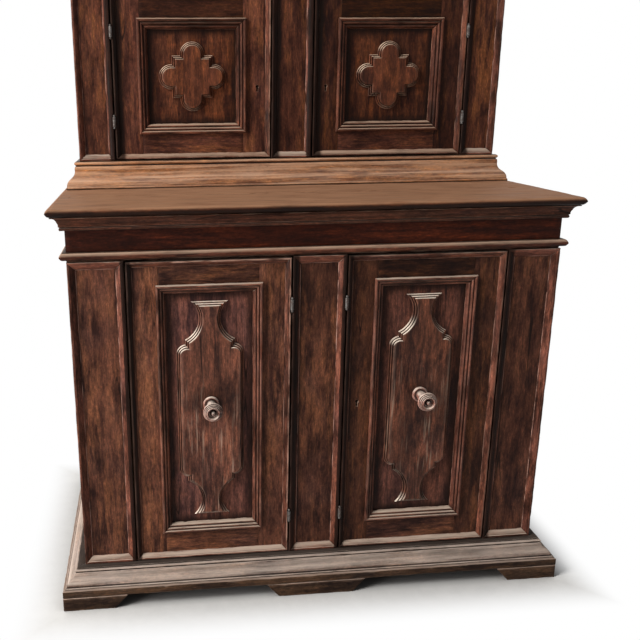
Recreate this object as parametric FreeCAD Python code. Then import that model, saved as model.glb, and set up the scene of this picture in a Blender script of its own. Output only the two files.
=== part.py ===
import FreeCAD, Part
import os

# Two-stage walnut cupboard: a deep lower body with two doors and a thick top, and a shallower
# upper body with two doors standing at the back of it. Lengths are millimetres. X runs across
# the front, Y from front to back and Z up. The origin is on the floor, under the middle of the
# footprint.

Vector = FreeCAD.Vector

# Lower body
pilaster_width = 121.0
lower_opening_width = 369.0
lower_opening_height = 734.0
case_depth = 590.0
foot_height = 34.0
base_frame_thickness = 19.0
base_frame_width = 100.0
base_frame_reach = 52.0
plinth_moulding_height = 40.0
plinth_moulding_reach = 47.0
frieze_height = 99.0
frieze_bead_height = 17.0
frieze_bead_reach = 14.0
frieze_bead_lift = 4.0
slab_moulding_height = 31.0
slab_moulding_reach = 27.0
slab_thickness = 18.0
slab_reach = 35.0
slab_planks = 3

# Upper body
upper_setback = 355.0
upper_side_setback = 9.5
centre_stile_width = 104.0
outer_stile_width = 90.0
upper_opening_height = 405.0
upper_base_height = 68.0
upper_base_reach = 35.0
upper_frieze_height = 62.0
upper_bead_height = 13.0
upper_bead_reach = 10.0
cornice_height = 54.0
cornice_reach = 46.0

# Boards
board_thickness = 24.0
shelf_thickness = 20.0
back_thickness = 18.0
partition_thickness = 22.0
bottom_thickness = 21.0
top_thickness = 20.0
back_boards = 5
shelf_front_gap = 60.0
cleat_width = 20.0
lower_shelf_share = 0.46
upper_shelf_share = 0.5

# Feet
centre_foot_half_top = 120.0
centre_foot_half_bottom = 90.0
foot_depth = 70.0
corner_foot_width = 150.0
corner_foot_depth = 120.0
foot_slope = 30.0
rear_foot_width = 90.0
rear_foot_depth = 70.0

# Mouldings round doors, pilasters and stiles
edge_moulding_width = 14.0
edge_moulding_rise = 9.0
pilaster_moulding_width = 19.0
stile_moulding_width = 17.0

# Doors
door_gap = 3.0
door_end_gap = 3.0
panel_recess = 7.0
panel_thickness = 10.0
panel_tongue = 8.0
panel_slack = 0.5
panel_moulding_lap = 8.0
panel_moulding_rise = 9.0
lower_panel_moulding_width = 22.0
upper_panel_moulding_width = 26.0
lower_margin_side = 63.0
lower_margin_top = 54.0
lower_margin_bottom = 66.0
upper_margin = 61.0
stop_width = 22.0
stop_depth = 12.0
stop_lap = 8.0
stop_gap = 0.5
upper_stop_height = 88.0

# Carved ornaments
reed_width = 4.0
reed_count = 3
carving_rise = 5.0
reed_nose_radius = 3.2
cartouche_side_gap = 42.0
cartouche_end_gap = 41.5
quatrefoil_gap = 51.5

# Knobs
knob_above_centre = 22.0
knob_length = 60.0
knob_head_radius = 21.5
knob_shank_radius = 7.0

# Hinges
hinge_radius = 4.0
hinge_pin_radius = 2.2
hinge_pin_clearance = 0.05
hinge_knuckle_height = 12.0
hinge_knuckle_gap = 0.4
hinge_finial_radius = 2.9
hinge_notch_clearance = 0.5
hinge_leaf_thickness = 0.7
hinge_leaf_depth = 18.0
lower_hinge_from_bottom = 96.0
lower_hinge_from_top = 107.0
upper_hinge_from_end = 93.0

# Locks of the upper doors, and the keyholes
keyhole_from_edge = 33.0
keyhole_radius = 3.4
keyhole_slot_width = 3.2
keyhole_slot_height = 12.0
upper_keyhole_share = 0.44
lower_keyhole_share = 0.52
lock_case_width = 46.0
lock_case_height = 64.0
lock_case_depth = 12.0
lock_edge_inset = 3.0
bolt_height = 14.0
bolt_thickness = 5.0
bolt_throw = 12.0
bolt_clearance = 0.3

# Levels
base_frame_z = foot_height
case_z = base_frame_z + base_frame_thickness
floor_z = case_z + plinth_moulding_height
opening_top_z = floor_z + lower_opening_height
slab_z = opening_top_z + frieze_height
upper_z = slab_z + slab_thickness
upper_floor_z = upper_z + upper_base_height
upper_opening_top_z = upper_floor_z + upper_opening_height
cornice_z = upper_opening_top_z + upper_frieze_height
top_z = cornice_z + cornice_height

# Places across and along
half_width = 1.5 * pilaster_width + lower_opening_width
upper_half_width = half_width - upper_side_setback
upper_opening_width = upper_half_width - outer_stile_width - centre_stile_width / 2
front_reach = max(base_frame_reach, carving_rise + knob_length)
overall_depth = front_reach + case_depth
front_y = front_reach - overall_depth / 2
back_y = overall_depth / 2
inner_back_y = back_y - back_thickness
upper_front_y = front_y + upper_setback
joinery_y = front_y + board_thickness
upper_joinery_y = upper_front_y + board_thickness
hinge_y = -edge_moulding_rise
door_thickness = board_thickness - stop_gap

# Shares of a moulding's width and rise, outer edge first. A third number is the bow of an arc,
# as a share of its chord, to the left of the way it runs.
edge_shares = [(0, 0.92), (0.20, 0.96, 0.12), (0.24, 0.78), (0.30, 0.76), (0.95, 0.14, 0.06), (1, 0)]
panel_moulding_shares = [(0, 0.80), (0.30, 0.92, 0.22), (0.34, 0.62), (0.60, 0.50, 0.22),
                         (0.64, 0.22), (0.94, 0.02, 0.18)]

# Shares of a moulding's reach and height, from the foot of its outer face upwards
plinth_shares = [(1, 0), (1, 0.08), (0.95, 0.11), (0.74, 0.42, -0.16), (0.52, 0.74, 0.16),
                 (0.46, 0.75), (0.46, 0.77), (0.50, 0.78), (0.50, 0.905, -0.3), (0.39, 0.92), (0.39, 1)]
upper_base_shares = [(1, 0), (1, 0.07), (0.94, 0.10), (0.62, 0.40, -0.14), (0.38, 0.72, 0.14),
                     (0.36, 0.80), (0.28, 0.84), (0.36, 0.88), (0.36, 0.97, -0.2), (0.26, 1)]
bead_shares = [(0.62, 0), (0.88, 0.20, -0.12), (0.96, 0.66, -0.22), (0.45, 1, -0.14)]
slab_moulding_shares = [(0.34, 0), (0.34, 0.24, -0.2), (0.44, 0.28), (0.52, 0.60, 0.12),
                        (0.84, 0.90, 0.14), (1, 0.92), (1, 1)]
cornice_shares = [(0.12, 0), (0.16, 0.10, -0.3), (0.16, 0.18), (0.46, 0.52, 0.16), (0.56, 0.54),
                  (0.56, 0.66), (0.78, 0.88, -0.18), (0.94, 0.90), (1, 0.92), (1, 1)]

# Shares of the cartouche's half width and half height, for the quarter of it above and to the
# right of its middle, from the tip down: tip, neck, shoulder, foot of the step, end of the bow
cartouche_shares = [(0.54, 1), (0.325, 0.827), (0.73, 0.664), (0.73, 0.622), (1, 0.53)]
cartouche_bow_share = 0.188

# Shares of the quatrefoil's width
quatrefoil_lobe_share = 0.182
quatrefoil_square_share = 0.61

# Share of the top's thickness that its rounded nose takes at each arris
slab_nose_share = 0.44

# Shares of the knob's head radius and length, from its seat outwards
knob_shares = [(0.84, 0), (0.84, 0.065, -0.25), (0.60, 0.11), (0.50, 0.175), (0.58, 0.37, -0.1),
               (0.86, 0.54, 0.12), (1.0, 0.69, -0.12), (0.97, 0.78, -0.12), (0.90, 0.80),
               (0.90, 0.88, -0.3), (0.80, 0.90), (0.78, 0.98, -0.3), (0.66, 1), (0.58, 0.935),
               (0.40, 0.88), (0.20, 0.87), (0.17, 0.945), (0.10, 0.99), (0, 0.99)]


def box(x_range, y_range, z_range):
    """A board between two places along each axis."""
    size = [high - low for low, high in (x_range, y_range, z_range)]
    return Part.makeBox(*size, Vector(x_range[0], y_range[0], z_range[0]))


def mirrored(shape):
    """The same piece on the other side of the middle."""
    return shape.mirror(Vector(0, 0, 0), Vector(1, 0, 0))


def outline(points):
    """A closed face through points (vector, bow); a bow makes the edge to that point an arc."""
    edges = []
    previous = points[-1][0]
    for place, bow in points:
        chord = place - previous
        if chord.Length > 0:
            if bow:
                edges.append(bowed_edge(previous, place, bow))
            else:
                edges.append(Part.LineSegment(previous, place).toShape())
        previous = place
    return Part.Face(Part.Wire(edges))


def bowed_edge(start, end, bow):
    """An arc whose middle stands off its chord by the vector bow."""
    middle = (start + end) * 0.5 + bow
    return Part.Arc(start, middle, end).toShape()


def profile_face(points, to_space):
    """A face from profile points (u, v) or (u, v, bow share), set in space by to_space."""
    placed = []
    last = points[-1]
    for point in points:
        u, v = point[0], point[1]
        bow = None
        if len(point) > 2:
            du, dv = u - last[0], v - last[1]
            bow = to_space(-dv * point[2], du * point[2]) - to_space(0, 0)
        placed.append((to_space(u, v), bow))
        last = point
    return outline(placed)


def scaled_points(shares, width, height):
    """Profile points from shares of a width and a height."""
    return [(s[0] * width, s[1] * height) + tuple(s[2:]) for s in shares]


def case_moulding(shares, reach, height, case_half_width, face_y, z):
    """A moulding round the front and both sides of a case, mitred at the front corners."""
    points = [(0, 0)] + scaled_points(shares, reach, height) + [(0, height)]
    front = profile_face(points, lambda r, h: Vector(-case_half_width - reach, face_y - r, z + h))
    front = front.extrude(Vector(2 * (case_half_width + reach), 0, 0))
    side = profile_face(points, lambda r, h: Vector(case_half_width + r, face_y - reach, z + h))
    side = side.extrude(Vector(0, back_y - face_y + reach, 0))
    corner = (case_half_width, face_y)
    tip = (case_half_width + reach, face_y - reach)
    front_plan = [(-corner[0], corner[1]), corner, tip, (-tip[0], tip[1])]
    side_plan = [corner, tip, (tip[0], back_y), (corner[0], back_y)]
    front = front.common(plan_prism(front_plan, z, height))
    side = side.common(plan_prism(side_plan, z, height))
    return [front, side, mirrored(side)]


def plan_prism(corners, z, height):
    """An upright prism over a plan."""
    return outline([(Vector(x, y, z), None) for x, y in corners]).extrude(Vector(0, 0, height))


def front_prism(corners, y, depth):
    """A prism behind an elevation."""
    return outline([(Vector(x, y, z), None) for x, z in corners]).extrude(Vector(0, depth, 0))


def rectangle(x_range, z_range, inset=0):
    """The corners of an upright rectangle, drawn in by an inset."""
    x0, x1 = x_range[0] + inset, x_range[1] - inset
    z0, z1 = z_range[0] + inset, z_range[1] - inset
    return [(x0, z0), (x1, z0), (x1, z1), (x0, z1)]


def mitred_bars(outer, inner, y, depth):
    """Four bars between two rectangles, parted along the lines that join their corners."""
    bars = []
    for i in range(4):
        j = (i + 1) % 4
        bars.append(front_prism([outer[i], outer[j], inner[j], inner[i]], y, depth))
    return bars


def stiles_and_rails(outer, inner, y, depth):
    """Two stiles of full height and the two rails between them, round a rectangle."""
    x0, z0 = outer[0]
    x1, z1 = outer[2]
    sight_x0, sight_z0 = inner[0]
    sight_x1, sight_z1 = inner[2]
    across = (sight_x0, sight_x1)
    boards = [(across, (z0, sight_z0)), ((sight_x1, x1), (z0, z1)),
              (across, (sight_z1, z1)), ((x0, sight_x0), (z0, z1))]
    return [front_prism(rectangle(x_range, z_range), y, depth) for x_range, z_range in boards]


def frame_moulding(points, x_range, z_range, y, width, depth, open_sides=()):
    """A mitred moulding inside an upright rectangle; u runs inwards and v towards the front."""
    x0, x1 = x_range
    z0, z1 = z_range
    bottom = profile_face(points, lambda u, v: Vector(x0, y - v, z0 + u))
    top = profile_face(points, lambda u, v: Vector(x0, y - v, z1 - u))
    left = profile_face(points, lambda u, v: Vector(x0 + u, y - v, z0))
    right = profile_face(points, lambda u, v: Vector(x1 - u, y - v, z0))
    across = Vector(x1 - x0, 0, 0)
    along = Vector(0, 0, z1 - z0)
    bars = [bottom.extrude(across), right.extrude(along), top.extrude(across), left.extrude(along)]
    front = y - depth
    wedges = mitred_bars(rectangle(x_range, z_range), rectangle(x_range, z_range, width),
                         front, 2 * depth)
    return [bar.common(wedge) for bar, wedge in zip(bars, wedges)]


def edge_moulding(x_range, z_range, y, width):
    """The raised moulding round the rim of a door, pilaster or stile."""
    points = [(0, 0)] + scaled_points(edge_shares, width, edge_moulding_rise)
    return frame_moulding(points, x_range, z_range, y, width, 2 * edge_moulding_rise)


def panel_moulding(x_range, z_range, y, width):
    """The moulding that laps the frame outside and reaches down to the panel inside."""
    points = [(0, 0)] + scaled_points(panel_moulding_shares, width, panel_moulding_rise)
    points += [(width, -panel_recess), (panel_moulding_lap, -panel_recess), (panel_moulding_lap, 0)]
    return frame_moulding(points, x_range, z_range, y, width, 2 * panel_moulding_rise)


def reeded_carving(face, y):
    """A raised carving on a panel: each rounded reed of its rim stands inside and above the last."""
    rise = (panel_recess + carving_rise) / reed_count
    seat_y = y + panel_recess
    layers = []
    for i in range(reed_count):
        rim = face.makeOffset2D(-i * reed_width, join=2) if i else face
        layer = rim.extrude(Vector(0, -rise, 0))
        nose = [edge for edge in layer.Edges if edge.BoundBox.YMax < -rise / 2]
        layer = layer.makeFillet(reed_nose_radius, nose)
        layer.translate(Vector(0, seat_y - i * rise, 0))
        layers.append(layer)
    return layers[0].fuse(layers[1:]).removeSplitter().Solids[0]


def cartouche_face(width, height):
    """The vase-like outline of the lower doors' carving, about its own middle."""
    points = [(u * width / 2, v * height / 2) for u, v in cartouche_shares]
    edges = []
    for sx in (1, -1):
        for sz in (1, -1):
            tip, neck, shoulder, step, side = [Vector(sx * x, 0, sz * z) for x, z in points]
            chord = side - step
            bow = Vector(-chord.z, 0, chord.x) * (cartouche_bow_share * sx * sz)
            edges.append(Part.Arc(tip, neck, shoulder).toShape())
            edges.append(Part.LineSegment(shoulder, step).toShape())
            edges.append(bowed_edge(step, side, bow))
        edges.append(Part.LineSegment(side, Vector(side.x, 0, -side.z)).toShape())
    for sz in (1, -1):
        half, tip_z = points[0][0], sz * points[0][1]
        edges.append(Part.LineSegment(Vector(-half, 0, tip_z), Vector(half, 0, tip_z)).toShape())
    return Part.Face(Part.Wire(Part.__sortEdges__(edges)))


def quatrefoil_face(width):
    """Four round lobes about a square, about its own middle."""
    lobe = quatrefoil_lobe_share * width
    half = quatrefoil_square_share * width / 2
    reach = width / 2 - lobe
    depth = Vector(0, carving_rise, 0)
    shape = front_prism(rectangle((-half, half), (-half, half)), 0, carving_rise)
    for across, up in ((1, 0), (0, 1)):
        x = reach if across else lobe
        z = reach if up else lobe
        shape = shape.fuse(front_prism(rectangle((-x, x), (-z, z)), 0, carving_rise))
        for side in (-1, 1):
            centre = Vector(side * reach * across, 0, side * reach * up)
            shape = shape.fuse(Part.makeCylinder(lobe, carving_rise, centre, depth))
    return min(shape.removeSplitter().Faces, key=lambda f: f.CenterOfMass.y)


def turned_knob(x, y, z, shank_end_y):
    """A turned knob on its flange, with the shank that is glued through the panel."""
    points = scaled_points(knob_shares, knob_head_radius, knob_length)
    shank = y - shank_end_y
    points = [(knob_shank_radius, shank), (knob_shank_radius, 0)] + points + [(0, shank)]
    face = profile_face(points, lambda r, length: Vector(r, -length, 0))
    knob = face.revolve(Vector(0, 0, 0), Vector(0, 1, 0), 360)
    knob.translate(Vector(x, y, z))
    return knob


def keyhole(x, y, z, depth):
    """A round hole over a slot, cut right through a stile."""
    barrel = Part.makeCylinder(keyhole_radius, depth, Vector(x, y, z), Vector(0, 1, 0))
    slot = box((x - keyhole_slot_width / 2, x + keyhole_slot_width / 2), (y, y + depth),
               (z - keyhole_slot_height, z))
    return barrel.fuse(slot)


def hinge_halves(x, y, z, door_side):
    """One hinge: the door's knuckle and leaf, then the case's knuckle, leaf and pin."""
    height = hinge_knuckle_height
    axis_y = y + hinge_y
    leaf_y = (axis_y + hinge_radius + hinge_notch_clearance, axis_y + hinge_leaf_depth)
    bore = Part.makeCylinder(hinge_pin_radius + hinge_pin_clearance, 2 * height,
                             Vector(x, axis_y, z), Vector(0, 0, 1))
    halves = []
    for side, low in ((door_side, z + hinge_knuckle_gap / 2), (-door_side, z - height)):
        knuckle_height = height - hinge_knuckle_gap / 2
        knuckle = Part.makeCylinder(hinge_radius, knuckle_height, Vector(x, axis_y, low))
        near = x + side * (door_gap / 2 - hinge_leaf_thickness)
        far = x + side * door_gap / 2
        leaf_x = (min(near, far), max(near, far))
        web = box(leaf_x, (axis_y, leaf_y[1]), (low, low + knuckle_height))
        leaf = box(leaf_x, leaf_y, (z - height, z + height))
        halves.append(knuckle.fuse([web, leaf]).removeSplitter())
    door_half = halves[0].cut(bore)
    pin = Part.makeCylinder(hinge_pin_radius, 2 * height + 2 * hinge_finial_radius,
                            Vector(x, axis_y, z - height - hinge_finial_radius))
    finials = [Part.makeSphere(hinge_finial_radius, Vector(x, axis_y, place))
               for place in (z - height - hinge_finial_radius, z + height + hinge_finial_radius)]
    case_half = halves[1].fuse([pin] + finials).removeSplitter()
    return door_half, case_half


def hinge_notch(x, y, z):
    """The hollow that lets a hinge's knuckles into the mouldings beside them."""
    radius = hinge_radius + hinge_notch_clearance
    reach = hinge_knuckle_height + 2 * hinge_finial_radius + hinge_notch_clearance
    return Part.makeCylinder(radius, 2 * reach, Vector(x, y + hinge_y, z - reach))


def lower_hinge_places():
    """Where the right lower door's hinges stand: across, and their two heights."""
    return (pilaster_width / 2 + door_gap / 2,
            [floor_z + door_end_gap + lower_hinge_from_bottom,
             opening_top_z - door_end_gap - lower_hinge_from_top])


def upper_hinge_places():
    """Where the right upper door's hinges stand: across, and their two heights."""
    return (centre_stile_width / 2 + upper_opening_width - door_gap / 2,
            [upper_floor_z + door_end_gap + upper_hinge_from_end,
             upper_opening_top_z - door_end_gap - upper_hinge_from_end])


def notched_both_sides(trim, y, places):
    """Mouldings of a case, hollowed for the hinges of its right and left doors."""
    x, heights = places
    return cut_all(trim, [hinge_notch(side * x, y, z) for side in (1, -1) for z in heights])


def cut_all(solids, tools):
    """Each solid with every tool cut from it."""
    return [piece for solid in solids for piece in solid.cut(tools).Solids]


def door(x_range, z_range, y, margins, moulding_width, hinge_x, hinge_zs, free_edge_x):
    """The joined frame, panel and mouldings of a door in its opening."""
    x0, x1 = x_range[0] + door_gap, x_range[1] - door_gap
    z0, z1 = z_range[0] + door_end_gap, z_range[1] - door_end_gap
    side, top, bottom = margins
    field_x = (x0 + side, x1 - side)
    field_z = (z0 + bottom, z1 - top)
    sight = rectangle(field_x, field_z, panel_moulding_lap)
    tongue = panel_moulding_lap - panel_tongue
    slot = rectangle(field_x, field_z, tongue)
    panel_corners = rectangle(field_x, field_z, tongue + panel_slack)
    groove = front_prism(slot, y + panel_recess, panel_thickness)
    boards = stiles_and_rails(rectangle((x0, x1), (z0, z1)), sight, y, door_thickness)
    frame = cut_all(boards, [groove])
    panel = front_prism(panel_corners, y + panel_recess, panel_thickness)
    notches = [hinge_notch(hinge_x, y, z) for z in hinge_zs]
    rim = cut_all(edge_moulding((x0, x1), (z0, z1), y, edge_moulding_width), notches)
    mouldings = panel_moulding(field_x, field_z, y, moulding_width)
    hinges = [hinge_halves(hinge_x, y, z, 1 if free_edge_x > hinge_x else -1) for z in hinge_zs]
    return {
        "frame": frame,
        "panel": [panel],
        "mouldings": rim + mouldings,
        "hinge_leaves": [pair[0] for pair in hinges],
        "case_hinges": [pair[1] for pair in hinges],
        "field": (field_x, field_z),
    }


def middle_and_size(ranges):
    """The middle of some ranges, and how wide each is."""
    return [sum(r) / 2 for r in ranges], [r[1] - r[0] for r in ranges]


def lower_door():
    """The right lower door, hinged at the centre pilaster, with its cartouche and knob."""
    x_range = (pilaster_width / 2, pilaster_width / 2 + lower_opening_width)
    z_range = (floor_z, opening_top_z)
    hinge_x, hinge_zs = lower_hinge_places()
    pieces = door(x_range, z_range, front_y, (lower_margin_side, lower_margin_top, lower_margin_bottom),
                  lower_panel_moulding_width, hinge_x, hinge_zs, x_range[1])
    (x, z), (width, height) = middle_and_size(pieces["field"])
    face = cartouche_face(width - 2 * cartouche_side_gap, height - 2 * cartouche_end_gap)
    carving = reeded_carving(face, front_y)
    carving.translate(Vector(x, 0, z))
    seat_y = front_y - carving_rise
    knob_z = z + knob_above_centre
    shank_end = front_y + panel_recess + panel_thickness
    knob = turned_knob(x, seat_y, knob_z, shank_end)
    shank_hole = Part.makeCylinder(knob_shank_radius, shank_end - seat_y, Vector(x, seat_y, knob_z),
                                   Vector(0, 1, 0))
    pieces["cartouche"] = [carving.cut(shank_hole)]
    pieces["panel"] = cut_all(pieces["panel"], [shank_hole])
    pieces["knob"] = [knob]
    return pieces


def upper_door():
    """The right upper door, hinged at its outer edge, with its quatrefoil and lock."""
    x_range = (centre_stile_width / 2, centre_stile_width / 2 + upper_opening_width)
    z_range = (upper_floor_z, upper_opening_top_z)
    hinge_x, hinge_zs = upper_hinge_places()
    pieces = door(x_range, z_range, upper_front_y, (upper_margin, upper_margin, upper_margin),
                  upper_panel_moulding_width, hinge_x, hinge_zs, x_range[0])
    (x, z), size = middle_and_size(pieces["field"])
    carving = reeded_carving(quatrefoil_face(min(size) - 2 * quatrefoil_gap), upper_front_y)
    carving.translate(Vector(x, 0, z))
    pieces["quatrefoil"] = [carving]
    edge_x = x_range[0] + door_gap
    lock_z = upper_floor_z + upper_keyhole_share * upper_opening_height
    hole = keyhole(edge_x + keyhole_from_edge, upper_front_y, lock_z, door_thickness)
    pieces["frame"] = cut_all(pieces["frame"], [hole])
    pieces["lock_case"], pieces["lock_bolt"] = lock(edge_x + lock_edge_inset, lock_z)
    return pieces


def lock(x, z):
    """A surface lock on the back of a stile: the case, and the bolt drawn back inside it."""
    y = upper_front_y + door_thickness
    case_x = (x, x + lock_case_width)
    case_z = (z - lock_case_height / 2, z + lock_case_height / 2)
    case = box(case_x, (y, y + lock_case_depth), case_z)
    bolt_y = y + (lock_case_depth - bolt_thickness) / 2
    bolt_z = z - bolt_height / 2
    tail = x + lock_case_width - bolt_throw
    bolt = box((x, tail), (bolt_y, bolt_y + bolt_thickness), (bolt_z, bolt_z + bolt_height))
    slot = box((x, tail + bolt_clearance),
               (bolt_y - bolt_clearance, bolt_y + bolt_thickness + bolt_clearance),
               (bolt_z - bolt_clearance, bolt_z + bolt_height + bolt_clearance))
    return [case.cut(slot)], [bolt]


def feet():
    """The centre bracket foot, two corner feet and two rear feet under the base frame."""
    front = front_y - base_frame_reach
    outer = half_width + base_frame_reach
    centre = front_prism([(-centre_foot_half_top, foot_height), (-centre_foot_half_bottom, 0),
                          (centre_foot_half_bottom, 0), (centre_foot_half_top, foot_height)],
                         front, foot_depth)
    inner = outer - corner_foot_width
    corner = front_prism([(outer, 0), (outer, foot_height), (inner, foot_height),
                          (inner + foot_slope, 0)], front, corner_foot_depth)
    slope = Part.Face(Part.makePolygon([
        Vector(inner, front + corner_foot_depth, foot_height),
        Vector(inner, front + corner_foot_depth, 0),
        Vector(inner, front + corner_foot_depth - foot_slope, 0),
        Vector(inner, front + corner_foot_depth, foot_height)])).extrude(Vector(corner_foot_width, 0, 0))
    corner = corner.cut(slope)
    rear = box((outer - base_frame_reach - rear_foot_width, outer - base_frame_reach),
               (back_y - rear_foot_depth, back_y), (0, foot_height))
    return [centre, corner, mirrored(corner)], [rear, mirrored(rear)]


def base_frame():
    """Four flat boards that carry the case, mitred at the front corners."""
    outer = half_width + base_frame_reach
    inner = outer - base_frame_width
    front = front_y - base_frame_reach
    inner_front = front + base_frame_width
    rear = back_y - base_frame_width
    height = base_frame_thickness
    front_board = plan_prism([(-outer, front), (outer, front), (inner, inner_front),
                              (-inner, inner_front)], base_frame_z, height)
    side = plan_prism([(outer, front), (outer, back_y), (inner, back_y), (inner, inner_front)],
                      base_frame_z, height)
    back = box((-inner, inner), (rear, back_y), (base_frame_z, case_z))
    return [front_board, side, mirrored(side), back]


def back_of(case_half_width, z_range):
    """Upright boards side by side across the back of a case."""
    width = 2 * case_half_width / back_boards
    return [box((-case_half_width + i * width, -case_half_width + (i + 1) * width),
                (inner_back_y, back_y), z_range) for i in range(back_boards)]


def shelf_pair(case_half_width, front, z):
    """Two shelves, one each side of the partition."""
    shelf = box((partition_thickness / 2, case_half_width - board_thickness),
                (front + shelf_front_gap, inner_back_y), (z, z + shelf_thickness))
    return [mirrored(shelf), shelf]


def cleats(case_half_width, front, z):
    """The strips under the ends of the shelves."""
    outer = case_half_width - board_thickness
    inner = partition_thickness / 2
    y_range = (front + shelf_front_gap, inner_back_y)
    z_range = (z - cleat_width, z)
    pair = [box((inner, inner + cleat_width), y_range, z_range),
            box((outer - cleat_width, outer), y_range, z_range)]
    return pair + [mirrored(piece) for piece in pair]


def stops(x_range, y, z_range):
    """A pair of upright strips that the doors close against."""
    strip = box(x_range, (y, y + stop_depth), z_range)
    return [strip, mirrored(strip)]


def slab():
    """The top, three planks with a rounded front and ends."""
    x = half_width + slab_reach
    front = front_y - slab_reach
    whole = box((-x, x), (front, back_y), (slab_z, upper_z))
    rounded = [edge for edge in whole.Edges if is_rim(edge, front)]
    whole = whole.makeFillet(slab_nose_share * slab_thickness, rounded)
    width = (back_y - front) / slab_planks
    return [whole.common(box((-x, x), (front + i * width, front + (i + 1) * width), (slab_z, upper_z)))
            for i in range(slab_planks)]


def is_rim(edge, front):
    """True for the long level edges of the top at its front and ends, but not at its back."""
    low, high = edge.BoundBox.YMin, edge.BoundBox.YMax
    level = edge.BoundBox.ZLength < slab_thickness / 2
    at_back = low > front and high - low < slab_thickness / 2
    return level and not at_back


def lower_body():
    """Every fixed piece of the lower body but the hinges."""
    pilaster_x = (half_width - pilaster_width, half_width)
    centre_x = (-pilaster_width / 2, pilaster_width / 2)
    board_y = (front_y, joinery_y)
    side = box((half_width - board_thickness, half_width), (joinery_y, inner_back_y), (case_z, slab_z))
    outer = box(pilaster_x, board_y, (case_z, opening_top_z))
    field_z = (floor_z, opening_top_z)
    shelf_z = floor_z + lower_shelf_share * lower_opening_height
    inner = half_width - board_thickness
    half_partition = partition_thickness / 2
    rail_x = (-pilaster_x[0], pilaster_x[0])
    front_feet, rear_feet = feet()
    trim = edge_moulding(centre_x, field_z, front_y, pilaster_moulding_width)
    for sign in (1, -1):
        x_range = tuple(sorted((sign * pilaster_x[0], sign * pilaster_x[1])))
        trim += edge_moulding(x_range, field_z, front_y, pilaster_moulding_width)
    stop_x = (pilaster_x[0] - stop_lap, pilaster_x[0] - stop_lap + stop_width)
    return {
        "front_feet": front_feet,
        "rear_feet": rear_feet,
        "base_frame": base_frame(),
        "plinth_moulding": case_moulding(plinth_shares, plinth_moulding_reach, plinth_moulding_height,
                                         half_width, front_y, case_z),
        "lower_sides": [mirrored(side), side],
        "lower_bottom_rail": [box(rail_x, board_y, (case_z, floor_z - bottom_thickness))],
        "lower_bottom_board": lower_bottom(rail_x[1], inner),
        "lower_back_boards": back_of(half_width, (case_z, slab_z)),
        "lower_partition": [box((-half_partition, half_partition), (joinery_y, inner_back_y),
                                (floor_z, slab_z))],
        "lower_shelves": shelf_pair(half_width, joinery_y, shelf_z),
        "shelf_cleats": cleats(half_width, joinery_y, shelf_z),
        "centre_pilaster": [box(centre_x, board_y, field_z)],
        "outer_pilasters": [mirrored(outer), outer],
        "pilaster_mouldings": notched_both_sides(trim, front_y, lower_hinge_places()),
        "lower_frieze": [box((-half_width, half_width), board_y, (opening_top_z, slab_z))],
        "frieze_bead": case_moulding(bead_shares, frieze_bead_reach, frieze_bead_height,
                                     half_width, front_y, opening_top_z + frieze_bead_lift),
        "slab_moulding": case_moulding(slab_moulding_shares, slab_moulding_reach, slab_moulding_height,
                                       half_width, front_y, slab_z - slab_moulding_height),
        "top_slab": slab(),
        "door_stops": stops(stop_x, joinery_y, (floor_z, opening_top_z)),
    }


def lower_bottom(opening_x, inner):
    """The bottom board: full width behind the pilasters, and a tongue under the doors."""
    z_range = (floor_z - bottom_thickness, floor_z)
    main = box((-inner, inner), (joinery_y, inner_back_y), z_range)
    lip = box((-opening_x, opening_x), (front_y, joinery_y), z_range)
    return [main.fuse(lip).removeSplitter()]


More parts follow.
